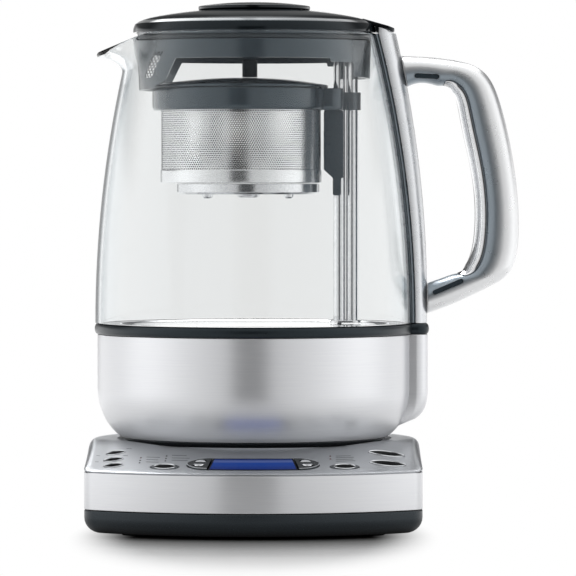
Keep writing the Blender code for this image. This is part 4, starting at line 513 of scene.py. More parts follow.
display = Sizes(
    inner=105.6, outer=120.4, halfAngle=math.radians(10.2), podEnd=math.radians(16.1), depth=4.0, steps=20,
    podProud=0.45, podGap=0.6, trimInset=0.9, trimWidth=0.5, trimProud=0.12, trimSunk=0.2)
displayMiddle = (display.inner + display.outer) / 2
keyRise = Sizes(proud=0.45, rim=0.32, well=0.15, skirt=1.1, skirtHeight=1.0, overrun=2.0, capGap=0.1,
                flangeEnds=1.7, flangeSides=0.35)


def keyFrame(distance, angle, long):    # the panel's normal is Z, the key's long axis X
    tilt = math.atan(base.panelSlope)
    normal = Vector((math.sin(angle) * math.sin(tilt), -math.cos(angle) * math.sin(tilt), math.cos(tilt)))
    along = Vector((math.cos(long), math.sin(long), 0))
    along = (along - normal * along.dot(normal)).normalized()
    rotation = Matrix((along, normal.cross(along), normal)).transposed().to_4x4()
    return Matrix.Translation(onPanel(distance, angle)) @ rotation


def keyRing(length, width, height, form, steps=40):
    # form is "oval", "lens" with narrow ends, or an "up" or "down" arrow
    points = []
    for k in range(steps):
        x, y = math.cos(turn * k / steps), math.sin(turn * k / steps)
        if form == "lens":
            y = math.copysign(abs(y) ** 1.5, y)
        elif form == "up":
            y = 2 * max(y, 0) ** 1.3 - 1
        elif form == "down":
            y = 1 - 2 * max(-y, 0) ** 1.3
        points.append((length * x, width * y, height))
    return points


def keyShape(place, rings, closed=False):
    shape = stackRings(rings, closed)
    shape.transform(place)
    return shape


def keyOpening(key, form, depth):
    place, length, width = key
    return keyShape(place, [keyRing(length + clearance, width + clearance, z, form)
                            for z in (keyRise.overrun, -depth - keyRise.overrun)])


# Each key's distance and angle on the panel, the turn of its long axis, and its half length and half width.
keys = {name: (keyFrame(distance, math.radians(angle), math.radians(long)), length, width)
        for name, distance, angle, long, length, width in (
            ("corner_key_1", 102.5, -40.1, -18.0, 5.1, 2.9),
            ("corner_key_2", 110.8, -37.0, -16.0, 5.1, 2.9),
            ("corner_key_3", 117.8, -34.3, -18.0, 5.1, 2.9),
            ("middle_key_left", 117.2, -20.9, -21.7, 7.3, 3.4),
            ("middle_key_right", 117.2, 21.7, 21.7, 7.3, 3.4),
            ("large_key_back", 103.3, 38.0, 14.0, 9.2, 3.7),
            ("large_key_front", 115.2, 33.7, 16.0, 9.2, 3.7),
            ("arrow_key_left_up", 110.2, -12.9, -12.9, 2.6, 1.2),
            ("arrow_key_left_down", 115.5, -12.9, -12.9, 2.6, 1.2),
            ("arrow_key_right_up", 110.2, 12.9, 12.9, 2.6, 1.2),
            ("arrow_key_right_down", 115.5, 12.9, 12.9, 2.6, 1.2))}


def stripRings(stations, above, below, edge=0.0):    # a station is (angle, inner distance, outer distance)
    rings = []
    for angle, inner, outer in stations:
        section = [(inner, -below), (inner, above - edge), (inner + edge, above), (outer - edge, above),
                   (outer, above - edge), (outer, -below)]
        rings.append([onPanel(distance, angle, lift) for distance, lift in section])
    return rings


def podStations(side, margin):
    half = (display.outer - display.inner) / 2
    start = display.halfAngle + display.podGap / displayMiddle
    stations = []
    for k in range(15):
        share = math.sin(math.pi / 2 * k / 15)
        reach = half * math.sqrt(1 - share ** 2)
        angle = start + (display.podEnd - start) * share
        stations.append((side * angle, displayMiddle - reach - margin, displayMiddle + reach + margin))
    return stations


def windowStations(margin):
    return [(display.halfAngle * (2 * k / display.steps - 1), display.inner - margin, display.outer + margin)
            for k in range(display.steps + 1)]


openings = list(reversed(podStations(-1, clearance))) + windowStations(clearance) + podStations(1, clearance)
tools = [stackRings(stripRings(openings, keyRise.overrun, display.depth + keyRise.overrun))]
for name, key in keys.items():
    if not name.startswith("arrow"):
        tools.append(keyOpening(key, "oval" if name.startswith("middle") else "lens", base.coverThickness))
finishPiece(cover, silverLacquer, "base", "base_cover", cuts=tools, angle=38)
print("base shell made")

window = plainObject("displayWindow", stackRings(stripRings(windowStations(0), 0.0, display.depth, 0.25)))
panelMap = window.data.uv_layers.new(name="panel")
for loop in window.data.loops:
    point = window.data.vertices[loop.vertex_index].co / millimetre
    reach = math.hypot(point.x, point.y - bowCentre)
    angle = math.atan2(point.x, bowCentre - point.y)
    panelMap.data[loop.index].uv = ((angle / display.halfAngle + 1) / 2,
                                    (display.outer - reach) / (display.outer - display.inner))
finishPiece(window, displayBlue, "base", "display_window")

for side, word in ((-1, "left"), (1, "right")):
    tools = [keyOpening(key, "oval", display.depth) for name, key in keys.items()
             if name.startswith("arrow_key_" + word)]
    pod = stackRings(stripRings(podStations(side, 0), display.podProud, display.depth, 0.5))
    finishPiece(pod, slateGloss, "base", "display_pod_" + word, cuts=tools, angle=38)
    edge = podStations(side, -display.trimInset)
    trimLine = [(angle, outer) for angle, inner, outer in edge]
    trimLine += [(angle, inner) for angle, inner, outer in reversed(edge)]
    rings = []
    for angle, distance in trimLine:
        out = Vector(((angle * side - display.halfAngle) * displayMiddle, distance - displayMiddle))
        out = out.normalized() * display.trimWidth / 2
        shift = side * out.x / displayMiddle
        rings.append([onPanel(distance + out.y * way, angle + shift * way, display.podProud + lift)
                      for way, lift in ((-1, -display.trimSunk), (-1, display.trimProud),
                                        (1, display.trimProud), (1, -display.trimSunk))])
    trim = "podTrim" + word.capitalize()
    finishPiece(stackRings(rings), silverLacquer, "base", title=trim)

for name, (place, length, width) in keys.items():
    kind, *others = name.split("_")
    form = {"arrow": others[-1], "middle": "oval"}.get(kind, "lens")
    low = -(display.depth if kind == "arrow" else base.coverThickness) - clearance
    skirt = keyRise.skirt / 2 if kind == "arrow" else keyRise.skirt
    proud = keyRise.proud
    flared = [keyRing(length + skirt, width + skirt, z, "oval" if kind == "arrow" else form)
              for z in (low, low - keyRise.skirtHeight)]
    if kind == "arrow":
        rings = [keyRing(length * share, width * share, z, form)
                 for share, z in ((0.02, 0.9), (0.5, 0.88), (0.82, 0.78), (1.0, 0.45), (1.0, low))]
        finishPiece(keyShape(place, rings + flared), keyChrome, name, name)
        continue
    # a black flange, a bright rim and a smoked cap; the middle keys show their black flange at both ends, as
    # painted shade for the dark ends of the well
    rings = [keyRing(length - inset, width - inset, z, form)
             for inset, z in ((0.15, keyRise.well), (0, keyRise.well - 0.15), (0, low))]
    finishPiece(keyShape(place, rings + flared), absBlack, name, name,
                title=camelCase(name) + "Flange")
    if kind == "middle":
        # painted shade: the shorter rim and cap leave the black flange bare at the ends
        length, width = length - keyRise.flangeEnds, width - keyRise.flangeSides
    rim = keyRise.rim * (0.8 if kind == "corner" else 1.0)
    rings = [keyRing(length - rim * inset, width - rim * inset, z, form)
             for inset, z in ((0, 0.0), (0, proud - 0.35), (0.25, proud - 0.05), (0.5, proud),
                              (0.8, proud - 0.10), (1, proud - 0.4), (1, 0.0))]
    finishPiece(keyShape(place, rings, True), keyChrome, name, title=camelCase(name) + "Rim")
    length, width = (size - rim - keyRise.capGap for size in (length, width))
    rings = [keyRing(length * share, width * share, z, form)
             for share, z in ((0.02, proud - 0.2), (0.3, proud - 0.203), (0.6, proud - 0.215),
                              (0.85, proud - 0.24), (0.97, proud - 0.30), (1.0, proud - 0.42), (1.0, 0.0))]
    finishPiece(keyShape(place, rings), keySmoke, name, title=camelCase(name) + "Cap")
print("display and keys made")

# Signal lights, and plain printed bars beside them and beside the corner keys.
marks = Sizes(
    lightRadius=0.5, lightHeight=0.3, barHeight=0.05, barWidth=0.4, sunk=0.1,
    lights={"red": ((-53.5, -64.8), (36.6, -69.2), (36.6, -72.8)),
            "dark": ((-53.7, -68.4), (-53.9, -71.6), (-41.2, -67.4), (-41.4, -70.8), (-41.6, -73.8))},
    bars=((-50.8, -64.8, 7.2), (-50.8, -68.4, 6.2), (-50.8, -71.6, 6.6), (-38.6, -67.4, 7.4),
          (-38.6, -70.8, 9.0), (-38.6, -73.8, 8.0), (39.2, -68.2, 7.8), (39.2, -70.4, 9.4),
          (39.2, -72.8, 9.0), (39.2, -75.0, 10.0), (-75.4, -47.8, 2.4), (-61.0, -46.8, 3.2),
          (-75.6, -57.6, 2.2), (-62.4, -56.6, 3.0)))


def polar(x, y):    # distance and angle about the bow's centre
    return math.hypot(x, y - bowCentre), math.atan2(x, bowCentre - y)


for shade, material in (("red", lensRed), ("dark", lensDark)):
    lenses = []
    for spot in marks.lights[shade]:
        height = onPanel(*polar(*spot)).z
        profile = [(0, -0.3), (1, -0.3), (1, 0), (0.7, marks.lightHeight * 0.7), (0, marks.lightHeight)]
        lenses.append(turned([(marks.lightRadius * r, height + z) for r, z in profile], 16, spot, edge=0))
    finishPiece(joinMeshes(lenses), material, "base",
                title="signalLights" + shade.capitalize())
strips = []
for x, y, length in marks.bars:
    distance, start = polar(x, y)
    half = marks.barWidth / 2
    section = [(half, -marks.sunk), (half, marks.barHeight), (-half, marks.barHeight), (-half, -marks.sunk)]
    strips.append(stackRings([[onPanel(distance + across, start + length * step / 8 / distance, lift)
                               for across, lift in section] for step in range(9)]))
finishPiece(joinMeshes(strips), padPrint, "base", title="printedBars")
print("panel marks made")


# Jug

jug = Sizes(
    bandRadius=78.2, ringRadius=61.7, ringFlare=4.0, ringBottom=41.6, ringHeight=2.2, ringWidth=2.4,
    coverLow=43.6, coverTop=46.0, bowlRadius=76.8, bowlThickness=1.0, bowlBottom=44.1, bowlTop=93.9,
    bendRadius=23.4, bendHeight=23.9, bendCurve=28.0, columnReach=84.8, columnHalf=13.2,
    columnCorner=6.0, columnBend=66.5, columnDrop=16.0, bandBottom=94.2, bandTop=99.3,
    bandThickness=3.4, bandLedge=5.8, bandLedgeHeight=1.6, bandBulge=1.3, tabReach=85.4, tabMargin=0.8,
    coverHole=16.6, coverInset=1.2, floorTop=99.2, plateThickness=4.0, plateLip=1.2, plateGap=0.6,
    wireHole=1.6, postX=41.7,
    plateRing=((66.0, 0.0), (64.5, 0.9), (61.0, 1.1), (59.0, 0.3), (30.0, 0.1), (0, 0.0)))    # radius, drop


def keyholeRing(radius, reach, half, corner, height, share=1.0, steps=112, cornerSteps=10):
    crease = math.asin(half / radius)
    back = arc((0, 0), radius, crease, turn - crease, steps)
    column = [(reach - corner, -half)]
    column += arc((reach - corner, corner - half), corner, -math.pi / 2, 0, cornerSteps)[1:]
    column += arc((reach - corner, half - corner), corner, 0, math.pi / 2, cornerSteps)
    turns = [-crease + 2 * crease * (k + 1) / (len(column) + 1) for k in range(len(column))]
    flush = [(radius * math.cos(a), radius * math.sin(a)) for a in turns]
    blended = [(a[0] + (b[0] - a[0]) * share, a[1] + (b[1] - a[1]) * share) for a, b in zip(flush, column)]
    return [(x, y, height) for x, y in back + blended]


def bowlRadius(height):
    bendTop = jug.bowlBottom + jug.bendHeight
    if height >= bendTop:
        return jug.bowlRadius
    fall = min(1, (bendTop - height) / jug.bendCurve)
    return jug.bowlRadius - jug.bendRadius * (1 - math.sqrt(1 - fall ** 2))


def columnShare(height):
    if height >= jug.columnBend:
        return 1.0
    fall = min(1, (jug.columnBend - height) / jug.columnDrop)
    return math.sqrt(1 - fall ** 2)


def bowlRing(height, inset):
    return keyholeRing(bowlRadius(height) - inset, jug.columnReach - inset, jug.columnHalf - inset,
                       jug.columnCorner - inset, height, columnShare(height))


heights = [jug.bowlBottom + jug.bendHeight * k / 14 for k in range(15)] + [72, 78, 84, 90, jug.bowlTop - 0.4]
rings = [bowlRing(height, 0) for height in heights]
rings += [bowlRing(jug.bowlTop, 0.12), bowlRing(jug.bowlTop, 0.8)]
rings += [bowlRing(height, jug.bowlThickness) for height in reversed(heights)]
finishPiece(stackRings(rings, True), steelBrushed, "jug", "steel_bowl")

neck = bowlRadius(jug.bowlBottom) - jug.bowlThickness - jug.coverInset
ringIn = jug.ringRadius - jug.ringWidth
flareTop = jug.ringBottom + jug.ringHeight
bottomCover = turned([(ringIn, jug.ringBottom), (jug.ringRadius, jug.ringBottom),
                      (jug.ringRadius + jug.ringFlare, flareTop), (neck, flareTop), (neck, jug.coverTop),
                      (jug.coverHole, jug.coverTop), (jug.coverHole, jug.coverLow), (ringIn, jug.coverLow)],
                     128, closed=True, edge=0.5)
finishPiece(bottomCover, absBlack, "jug", "jug_bottom_cover")

bandHalf = jug.columnHalf + jug.tabMargin


def bandOuter(inset, height):
    return keyholeRing(jug.bandRadius - inset, jug.tabReach - inset, bandHalf - inset,
                       jug.columnCorner - inset, height)


def bandInner(radius, height):
    return keyholeRing(radius, radius, bandHalf, jug.columnCorner, height, 0.0)


bandIn = jug.bandRadius - jug.bandThickness
ledgeIn = bandIn - jug.bandLedge
ledgeTop = jug.bandBottom + jug.bandLedgeHeight
rings = []
for step in range(9):    # a half-round outer edge
    lean = math.pi * (step / 8 - 0.5)
    height = jug.bandBottom + (jug.bandTop - jug.bandBottom) * (0.5 + 0.5 * math.sin(lean))
    rings.append(bandOuter(jug.bandBulge * (1 - math.cos(lean)), height))
rings += [bandInner(radius, height) for radius, height in (
    (bandIn, jug.bandTop), (bandIn, ledgeTop), (ledgeIn, ledgeTop), (ledgeIn, jug.bandBottom))]
finishPiece(stackRings(rings, True), bandElastomer, "jug", "jug_band")

# Heater plate: the jug's polished floor, with a shallow drawn ring.
floorRadius = bandIn - jug.plateGap
plateLow = jug.floorTop - jug.plateThickness
lipLow = jug.floorTop - jug.plateLip
dish = ledgeIn - clearance
plateProfile = [(0, plateLow), (dish, plateLow), (dish, lipLow), (floorRadius, lipLow),
                (floorRadius, jug.floorTop)]
plateProfile += [(radius, jug.floorTop - drop) for radius, drop in jug.plateRing]
hole = turned([(jug.wireHole, plateLow - 2), (jug.wireHole, jug.floorTop + 2)], 24, (jug.postX, 0), edge=0)
finishPiece(turned(plateProfile, 128, edge=0.4), steelPolished, "jug", "heater_plate",
            cuts=[hole])
print("bowl, band and floor made")

glass = Sizes(
    thickness=2.4, curve=570.0, widest=77.9, bottom=99.6, top=240.8, spoutStart=222.0,
    spoutReach=12.5, spoutDrop=9.2, spoutHalf=math.radians(34.0), rimRise=0.9, angles=132,
    sideStations=16, spoutStations=14)


def glassRadius(height):
    rise = max(0, height - glass.bottom)
    return glass.widest - (glass.curve - math.sqrt(glass.curve ** 2 - rise ** 2))


def spoutWeight(angle):
    off = abs(math.remainder(angle - math.pi, turn)) / glass.spoutHalf
    return 0.0 if off >= 1 else math.cos(off * math.pi / 2) ** 2


glassAngles = [turn * k / glass.angles + math.sin(turn * k / glass.angles) / 3 for k in range(glass.angles)]


def glassWall(inset, share, lift=0.0):    # share 0 at the band, 1 at the start of the spout, 2 at the mouth
    if share <= 1:
        height = glass.bottom + (glass.spoutStart - glass.bottom) * share
        radius = glassRadius(height) - inset
        return [(radius * math.cos(a), radius * math.sin(a), height + lift) for a in glassAngles]
    part = share - 1
    plainHeight = glass.spoutStart + (glass.top - glass.spoutStart) * part
    plainRadius = glassRadius(plainHeight) - inset
    swing = part * math.pi / 2
    lipRise = glass.top - glass.spoutDrop - glass.spoutStart
    lipRadius = glassRadius(glass.spoutStart) + glass.spoutReach * (1 - math.cos(swing))
    lipRadius -= inset * math.cos(swing)
    lipHeight = glass.spoutStart + (lipRise - glass.thickness) * math.sin(swing) + inset * math.sin(swing)
    ring = []
    for a in glassAngles:
        weight = spoutWeight(a)
        radius = plainRadius + (lipRadius - plainRadius) * weight + lift * weight
        height = plainHeight + (lipHeight - plainHeight) * weight + lift * (1 - weight)
        ring.append((radius * math.cos(a), radius * math.sin(a), height))
    return ring


shares = [k / glass.sideStations for k in range(glass.sideStations)]
shares += [1 + k / glass.spoutStations for k in range(glass.spoutStations + 1)]
rings = [glassWall(0, share) for share in shares[:-1]]
for step in range(7):    # the fire-polished rim
    lean = math.pi * step / 6
    rings.append(glassWall(glass.thickness * (0.5 - 0.5 * math.cos(lean)), 2.0,
                           glass.rimRise * math.sin(lean) - glass.rimRise))
rings += [glassWall(glass.thickness, share) for share in reversed(shares[:-1])]
finishPiece(stackRings(rings, True), jugGlass, "jug", "glass_jug", angle=60, weighted=False)

post = Sizes(
    tubeRadius=2.95, wall=0.4, bore=3.35, driveX=jug.postX, sensorX=47.9, top=229.0, foot=99.5,
    footBore=3.25, footMargin=1.7, footHalf=7.6, footSteps=((0, 0), (0, 0.8), (0.15, 1.1), (0.4, 1.2)))
for node, x in (("drive_tube", post.driveX), ("sensor_tube", post.sensorX)):
    out = post.tubeRadius
    tube = turned([(0, post.top - post.wall), (out - post.wall, post.top - post.wall),
                   (out - post.wall, post.foot), (out, post.foot), (out, post.top - 1.2),
                   (out - 0.9, post.top - 0.2), (0, post.top)], 40, (x, 0), edge=0.2)
    finishPiece(tube, steelPolished, "jug", node)
margin = post.tubeRadius + post.footMargin
outline = arc((post.driveX, 0), margin, math.pi / 2, 3 * math.pi / 2, 24)
outline += arc((post.sensorX, 0), margin, -math.pi / 2, math.pi / 2, 24)
middleX = (post.driveX + post.sensorX) / 2
rings = []
for inset, height in post.footSteps:
    rings.append([(middleX + (x - middleX) * (1 - inset / post.footHalf), y * (1 - inset / margin),
                   post.foot + height) for x, y in outline])
holes = [turned([(post.footBore, post.foot - 2.5), (post.footBore, post.foot + 3.5)], 40, (x, 0), edge=0)
         for x in (post.driveX, post.sensorX)]
finishPiece(stackRings(rings), steelPolished, "jug", "post_foot", cuts=holes)
print("glass and post made")


# Handle, and the sizes of the lid's tab, whose fall the cover of the spine follows

tab = Sizes(root=54.0, reach=68.4, half=12.5, corner=3.0, top=247.6, under=245.35, fall=3.0, curve=1.2,
            rollX=60.4, rollZ=243.05, rollRadius=1.9, rollHalf=12.2)
handle = Sizes(
    spineThickness=6.7, spineThickening=2.5, spineHalf=12.5, spineTop=240.5, spineForm=2.3, linerWidth=1.5,
    top=230.0, bottom=104.1, reach=129.7, half=10.5, squareness=0.80, section=44, between=5,
    gripFirst=3, gripLast=14, gripThickness=2.2, gripShare=0.62,
    inlayHalf=1.3, inlayDepth=1.9, inlaySunk=0.9, inlayGap=0.15)
# Outer and inner points of the loop's side view, as shares of its reach and height.
loopShares = (
    (0.000, 1.000, 0.050, 0.881), (0.135, 0.998, 0.135, 0.898), (0.283, 0.993, 0.249, 0.893),
    (0.449, 0.984, 0.353, 0.875), (0.597, 0.968, 0.417, 0.859), (0.710, 0.938, 0.452, 0.840),
    (0.786, 0.884, 0.473, 0.811), (0.837, 0.819, 0.492, 0.762), (0.901, 0.710, 0.530, 0.670),
    (0.957, 0.577, 0.593, 0.555), (1.000, 0.409, 0.628, 0.412), (0.995, 0.269, 0.614, 0.285),
    (0.967, 0.194, 0.581, 0.222), (0.901, 0.144, 0.536, 0.180), (0.797, 0.114, 0.466, 0.158),
    (0.640, 0.079, 0.379, 0.142), (0.449, 0.037, 0.292, 0.129), (0.221, 0.000, 0.224, 0.117))


def tabFall(share):    # how far the tab has come down at a share of its length
    return tab.fall * share + tab.curve * share ** 2


def spineFace(height):
    share = (height - glass.bottom) / (handle.spineTop - glass.bottom)
    return glassRadius(height) + handle.spineThickness + handle.spineThickening * share


def loopPoint(across, up):
    root = spineFace(handle.top) + clearance
    height = handle.bottom + (handle.top - handle.bottom) * up
    return Vector((root + (handle.reach - root) * across, 0, height))


def loopStations():    # coarse stations; the first and last follow the spine's face
    stations = [(loopPoint(a, b), loopPoint(c, d)) for a, b, c, d in loopShares]
    for outer, inner in (stations[0], stations[-1]):
        outer.x = spineFace(outer.z) + clearance
        inner.x = spineFace(inner.z) + clearance
    return stations


def smoothRow(points, between):    # a curve through the points, with more points between
    row = []
    for index in range(len(points) - 1):
        before = points[max(index - 1, 0)]
        start, end = points[index], points[index + 1]
        after = points[min(index + 2, len(points) - 1)]
        for step in range(between):
            t = step / between
            square = (2 * before - 5 * start + 4 * end - after) * t ** 2
            cube = (3 * start - before - 3 * end + after) * t ** 3
            row.append(0.5 * (2 * start + (end - before) * t + square + cube))
    return row + [points[-1]]


def loopSection(outer, inner, angle, shift=0.0):
    middle = (outer + inner) / 2
    radial = (outer - inner) / 2
    grown = radial.normalized() * (radial.length + shift)
    across = Vector((0, handle.half + shift, 0))

    def bulge(value):
        return math.copysign(abs(value) ** handle.squareness, value)

    return middle + grown * bulge(math.cos(angle)) + across * bulge(math.sin(angle))


def relax(row, times=14):    # evens out a row of points, its ends kept
    for _ in range(times):
        row = [row[0]] + [(a + 2 * b + c) / 4 for a, b, c in zip(row, row[1:], row[2:])] + [row[-1]]
    return row


outerRow, innerRow = (relax(smoothRow(row, handle.between)) for row in zip(*loopStations()))
gripStart = handle.gripFirst * handle.between
gripEnd = handle.gripLast * handle.between
shellRow = []
for index, (outer, inner) in enumerate(zip(outerRow, innerRow)):
    into = min(1, max(0, (index - gripStart + 3) / 6)) * min(1, max(0, (gripEnd + 3 - index) / 6))
    into = into * into * (3 - 2 * into)
    shellRow.append((outer, inner + (outer - inner).normalized() * (handle.gripThickness + clearance) * into))
rings = [[loopSection(outer, inner, turn * k / handle.section) for k in range(handle.section)]
         for outer, inner in shellRow]
loop = plainObject("handleLoop", stackRings(rings))
sectionMap = loop.data.uv_layers.new(name="section")
for corner in loop.data.loops:
    ring, k = divmod(corner.vertex_index, handle.section)
    sectionMap.data[corner.index].uv = (ring / len(shellRow), (1 - math.cos(turn * k / handle.section)) / 2)
# Slots on both faces of the two arms, each holding a dark fill that is painted shade for the dark shading
# under the arm.
shadeFills = []
slots = []
for across, up, length, lean in ((0.21, 0.920, 12.5, -3), (0.39, 0.104, 16.5, 23)):
    centre = loopPoint(across, up)
    lean = math.radians(lean)
    along = Vector((math.cos(lean), 0, math.sin(lean))) * (length / 2 - handle.inlayHalf)
    head, tail = centre + along, centre - along
    near = handle.half - handle.inlayDepth
    for side in (-1, 1):
        for half, far, kept in ((handle.inlayHalf, handle.half + 3, slots),
                                (handle.inlayHalf - handle.inlayGap, handle.half - handle.inlaySunk, shadeFills)):
            outline = arc((head.x, head.z), half, lean - math.pi / 2, lean + math.pi / 2, 10)
            outline += arc((tail.x, tail.z), half, lean + math.pi / 2, lean + 3 * math.pi / 2, 10)
            kept.append(wall(outline, (side * near, side * far)))
finishPiece(loop, loopChrome, "jug", "handle_loop", cuts=slots, angle=40)
finishPiece(joinMeshes(shadeFills), slateMoulded, "jug", title="handleShadeFills")

spread = math.pi * handle.gripShare / 2
gripAngles = [math.pi + spread * (2 * k / 20 - 1) for k in range(21)]
rings = []
for index in range(gripStart, gripEnd + 1):
    outer, inner = shellRow[index]
    fade = min(1, 0.25 + min(index - gripStart, gripEnd - index) / 8)
    thickness = handle.gripThickness * fade
    front = [loopSection(outer, inner, a, 0.3) for a in gripAngles]
    back = []
    for a in reversed(gripAngles):
        share = math.sqrt(max(0, math.cos((a - math.pi) / spread * math.pi / 2)))
        back.append(loopSection(outer, inner, a, 0.3 + thickness * (0.25 + 0.75 * share)))
    rings.append(front + back)
finishPiece(stackRings(rings), steelPolished, "jug", "handle_grip", angle=50)

# Spine: a dark liner against the glass, whose grey is partly painted shade, and a rounded bright cover over
# it.
linerRings, spineRings = [], []
for step in range(41):
    height = glass.bottom + (handle.spineTop - glass.bottom) * step / 40
    inner = glassRadius(height) + clearance
    face = spineFace(height)
    split = inner + handle.linerWidth
    for start, end, width, kept in ((inner, split + 0.6, handle.spineHalf - 0.5, linerRings),
                                    (split, face, handle.spineHalf, spineRings)):
        half = math.asin(width / start)
        low = start * math.cos(half)
        points = arc((0, 0), start, half, -half, 8)
        for k in range(1, 32):    # an outline that turns steadily from the sides to the face
            lean = math.pi * (k / 32 - 0.5)
            out = math.cos(lean) ** (2 / handle.spineForm)
            over = math.copysign(abs(math.sin(lean)) ** (2 / handle.spineForm), lean)
            points.append((low + (end - low) * out, width * over))
        kept.append([(x, y, height) for x, y in points])
# the cover's top follows the underside of the lid's tab
spineRings.append([(x, y, tab.under - tabFall((x - tab.root) / (tab.reach - tab.root)))
                   for x, y, z in spineRings[-1]])
finishPiece(stackRings(spineRings), satinChrome, "jug", "handle_spine", angle=50)
finishPiece(stackRings(linerRings), linerSmokeAndShade, "jug", title="spineLiner", angle=50)
print("handle made")


# Perforated sheet: hexagonal cells with a hole each, set in staggered rows, bent round an upright axis.

sheetLengths = ("Pitch", "Thickness", "Radius", "Centre X", "Low Height")
sheetNodes = bpy.data.node_groups.new("perforatedSheet", 'GeometryNodeTree')
sheetNodes.interface.new_socket("Geometry", in_out='OUTPUT', socket_type='NodeSocketGeometry')
for kind, names in (("Int", ("Columns", "Rows")), ("Material", ("Material",)),
                    ("Float", ("Hole Share", "Taper", "Start Angle", "Slant", "Stretch", *sheetLengths))):
    for name in names:
        sheetNodes.interface.new_socket(name, in_out='INPUT', socket_type='NodeSocket' + kind)
given = {socket.name: socket for socket in addNode(sheetNodes, "NodeGroupInput").outputs}
given["index"] = addNode(sheetNodes, "GeometryNodeInputIndex").outputs[0]
here = addNode(sheetNodes, "SeparateXYZ", addNode(sheetNodes, "GeometryNodeInputPosition"))
given.update(zip("XYZ", here.outputs))
# Sums for each cell's place and for the bend: a name, the operation, and inputs, earlier sums or numbers
for name, operation, *sources in (
        ("cellRadius", 'DIVIDE', "Pitch", math.sqrt(3)), ("count", 'MULTIPLY', "Columns", "Rows"),
        ("indexMiddle", 'ADD', "index", 0.5), ("rowShare", 'DIVIDE', "indexMiddle", "Columns"),
        ("row", 'FLOOR', "rowShare"), ("rowStart", 'MULTIPLY', "row", "Columns"),
        ("column", 'SUBTRACT', "index", "rowStart"), ("odd", 'MODULO', "row", 2.0),
        ("half", 'MULTIPLY', "odd", 0.5), ("staggered", 'ADD', "column", "half"),
        ("lean", 'MULTIPLY', "row", "Slant"), ("leaning", 'ADD', "staggered", "lean"),
        ("along", 'MULTIPLY', "leaning", "Pitch"), ("rise", 'MULTIPLY', "row", math.sqrt(3) / 2),
        ("up", 'MULTIPLY', "rise", "Pitch"),
        ("drawn", 'MULTIPLY', "X", "Stretch"), ("swing", 'DIVIDE', "drawn", "Radius"),
        ("angle", 'ADD', "swing", "Start Angle"), ("outward", 'ADD', "Radius", "Z"),
        ("widening", 'MULTIPLY', "Y", "Taper"), ("reach", 'ADD', "outward", "widening"),
        ("cosine", 'COSINE', "angle"), ("sine", 'SINE', "angle"), ("ahead", 'MULTIPLY', "cosine", "reach"),
        ("bentX", 'ADD', "ahead", "Centre X"), ("bentY", 'MULTIPLY', "sine", "reach"),
        ("bentZ", 'ADD', "Y", "Low Height")):
    sources = [given.get(source, source) for source in sources]
    given[name] = addNode(sheetNodes, "Math", *sources, operation=operation).outputs[0]
cell = addNode(sheetNodes, "GeometryNodeMeshCircle", Vertices=6, Radius=given["cellRadius"], fill_type='NGON')
pushed = addNode(sheetNodes, "GeometryNodeExtrudeMesh", cell, Offset_Scale=0.0)
inside = pushed.outputs["Top"]
shrunk = addNode(sheetNodes, "GeometryNodeScaleElements", pushed, Selection=inside, Scale=given["Hole Share"])
ring = addNode(sheetNodes, "GeometryNodeDeleteGeometry", shrunk, Selection=inside, domain='FACE')
upright = addNode(sheetNodes, "GeometryNodeTransform", ring, Rotation=(0.0, 0.0, math.pi / 6))
points = addNode(sheetNodes, "GeometryNodePoints", given["count"])
spot = addNode(sheetNodes, "CombineXYZ", given["along"], given["up"])
placed = addNode(sheetNodes, "GeometryNodeSetPosition", points, Position=spot)
cells = addNode(sheetNodes, "GeometryNodeInstanceOnPoints", placed, Instance=upright)
real = addNode(sheetNodes, "GeometryNodeRealizeInstances", cells)
welded = addNode(sheetNodes, "GeometryNodeMergeByDistance", real, Distance=0.01 * millimetre)
lifted = addNode(sheetNodes, "GeometryNodeExtrudeMesh", welded, Offset_Scale=given["Thickness"],
                 Individual=False)
both = addNode(sheetNodes, "GeometryNodeJoinGeometry", addNode(sheetNodes, "GeometryNodeFlipFaces", welded))
feed(sheetNodes, both, {"Geometry": lifted})
closed = addNode(sheetNodes, "GeometryNodeMergeByDistance", both, Distance=0.01 * millimetre)
bent = addNode(sheetNodes, "CombineXYZ", given["bentX"], given["bentY"], given["bentZ"])
curved = addNode(sheetNodes, "GeometryNodeSetPosition", closed, Position=bent)
again = addNode(sheetNodes, "GeometryNodeRealizeInstances", curved)
coated = addNode(sheetNodes, "GeometryNodeSetMaterial", again, Material=given["Material"])
addNode(sheetNodes, "NodeGroupOutput", coated)


def perforatedMesh(values):    # runs the sheet's tree; lengths given and mesh handed back are in millimetres
    carrier = plainObject("sheet", bmesh.new())
    modifier = carrier.modifiers.new("perforations", 'NODES')
    modifier.node_group = sheetNodes
    for item in sheetNodes.interface.items_tree:
        if item.in_out == 'INPUT':
            value = values[item.name]
            modifier[item.identifier] = value * millimetre if item.name in sheetLengths else value
    settle(carrier)
    mesh = carrier.data
    bpy.data.objects.remove(carrier)
    mesh.transform(Matrix.Scale(1 / millimetre, 4))
    return mesh


# Tea basket

basket = Sizes(
    x=-6.5, cupRadius=39.1, cupWall=0.8, bandBottom=167.7, bandTop=174.0, rimTop=206.5,
    collarRadius=43.4, collarBottom=203.2, collarTop=213.8, collarWall=2.2, collarReach=43.6,
    neckHalf=16.0, stepRadius=34.8, stepX=-3.0, stepHeight=5.2, footCircle=28.0,
    pitch=1.2, holeShare=0.64, sheetThickness=0.45, sheetGap=0.12, fieldTop=203.6,
    stripHalf=math.radians(36.3), stripBottom=173.4, stripTop=203.7,
    rimBottom=203.3, rimReach=2.2, rimHeight=0.9, sliderDrop=1.8, sliderHeight=8.6, sliderWall=1.4,
    lidRise=3.6, lidEdge=1.4, rodRadius=3.7, rodBevel=0.8, rodTop=228.2, rodX=-2.2)


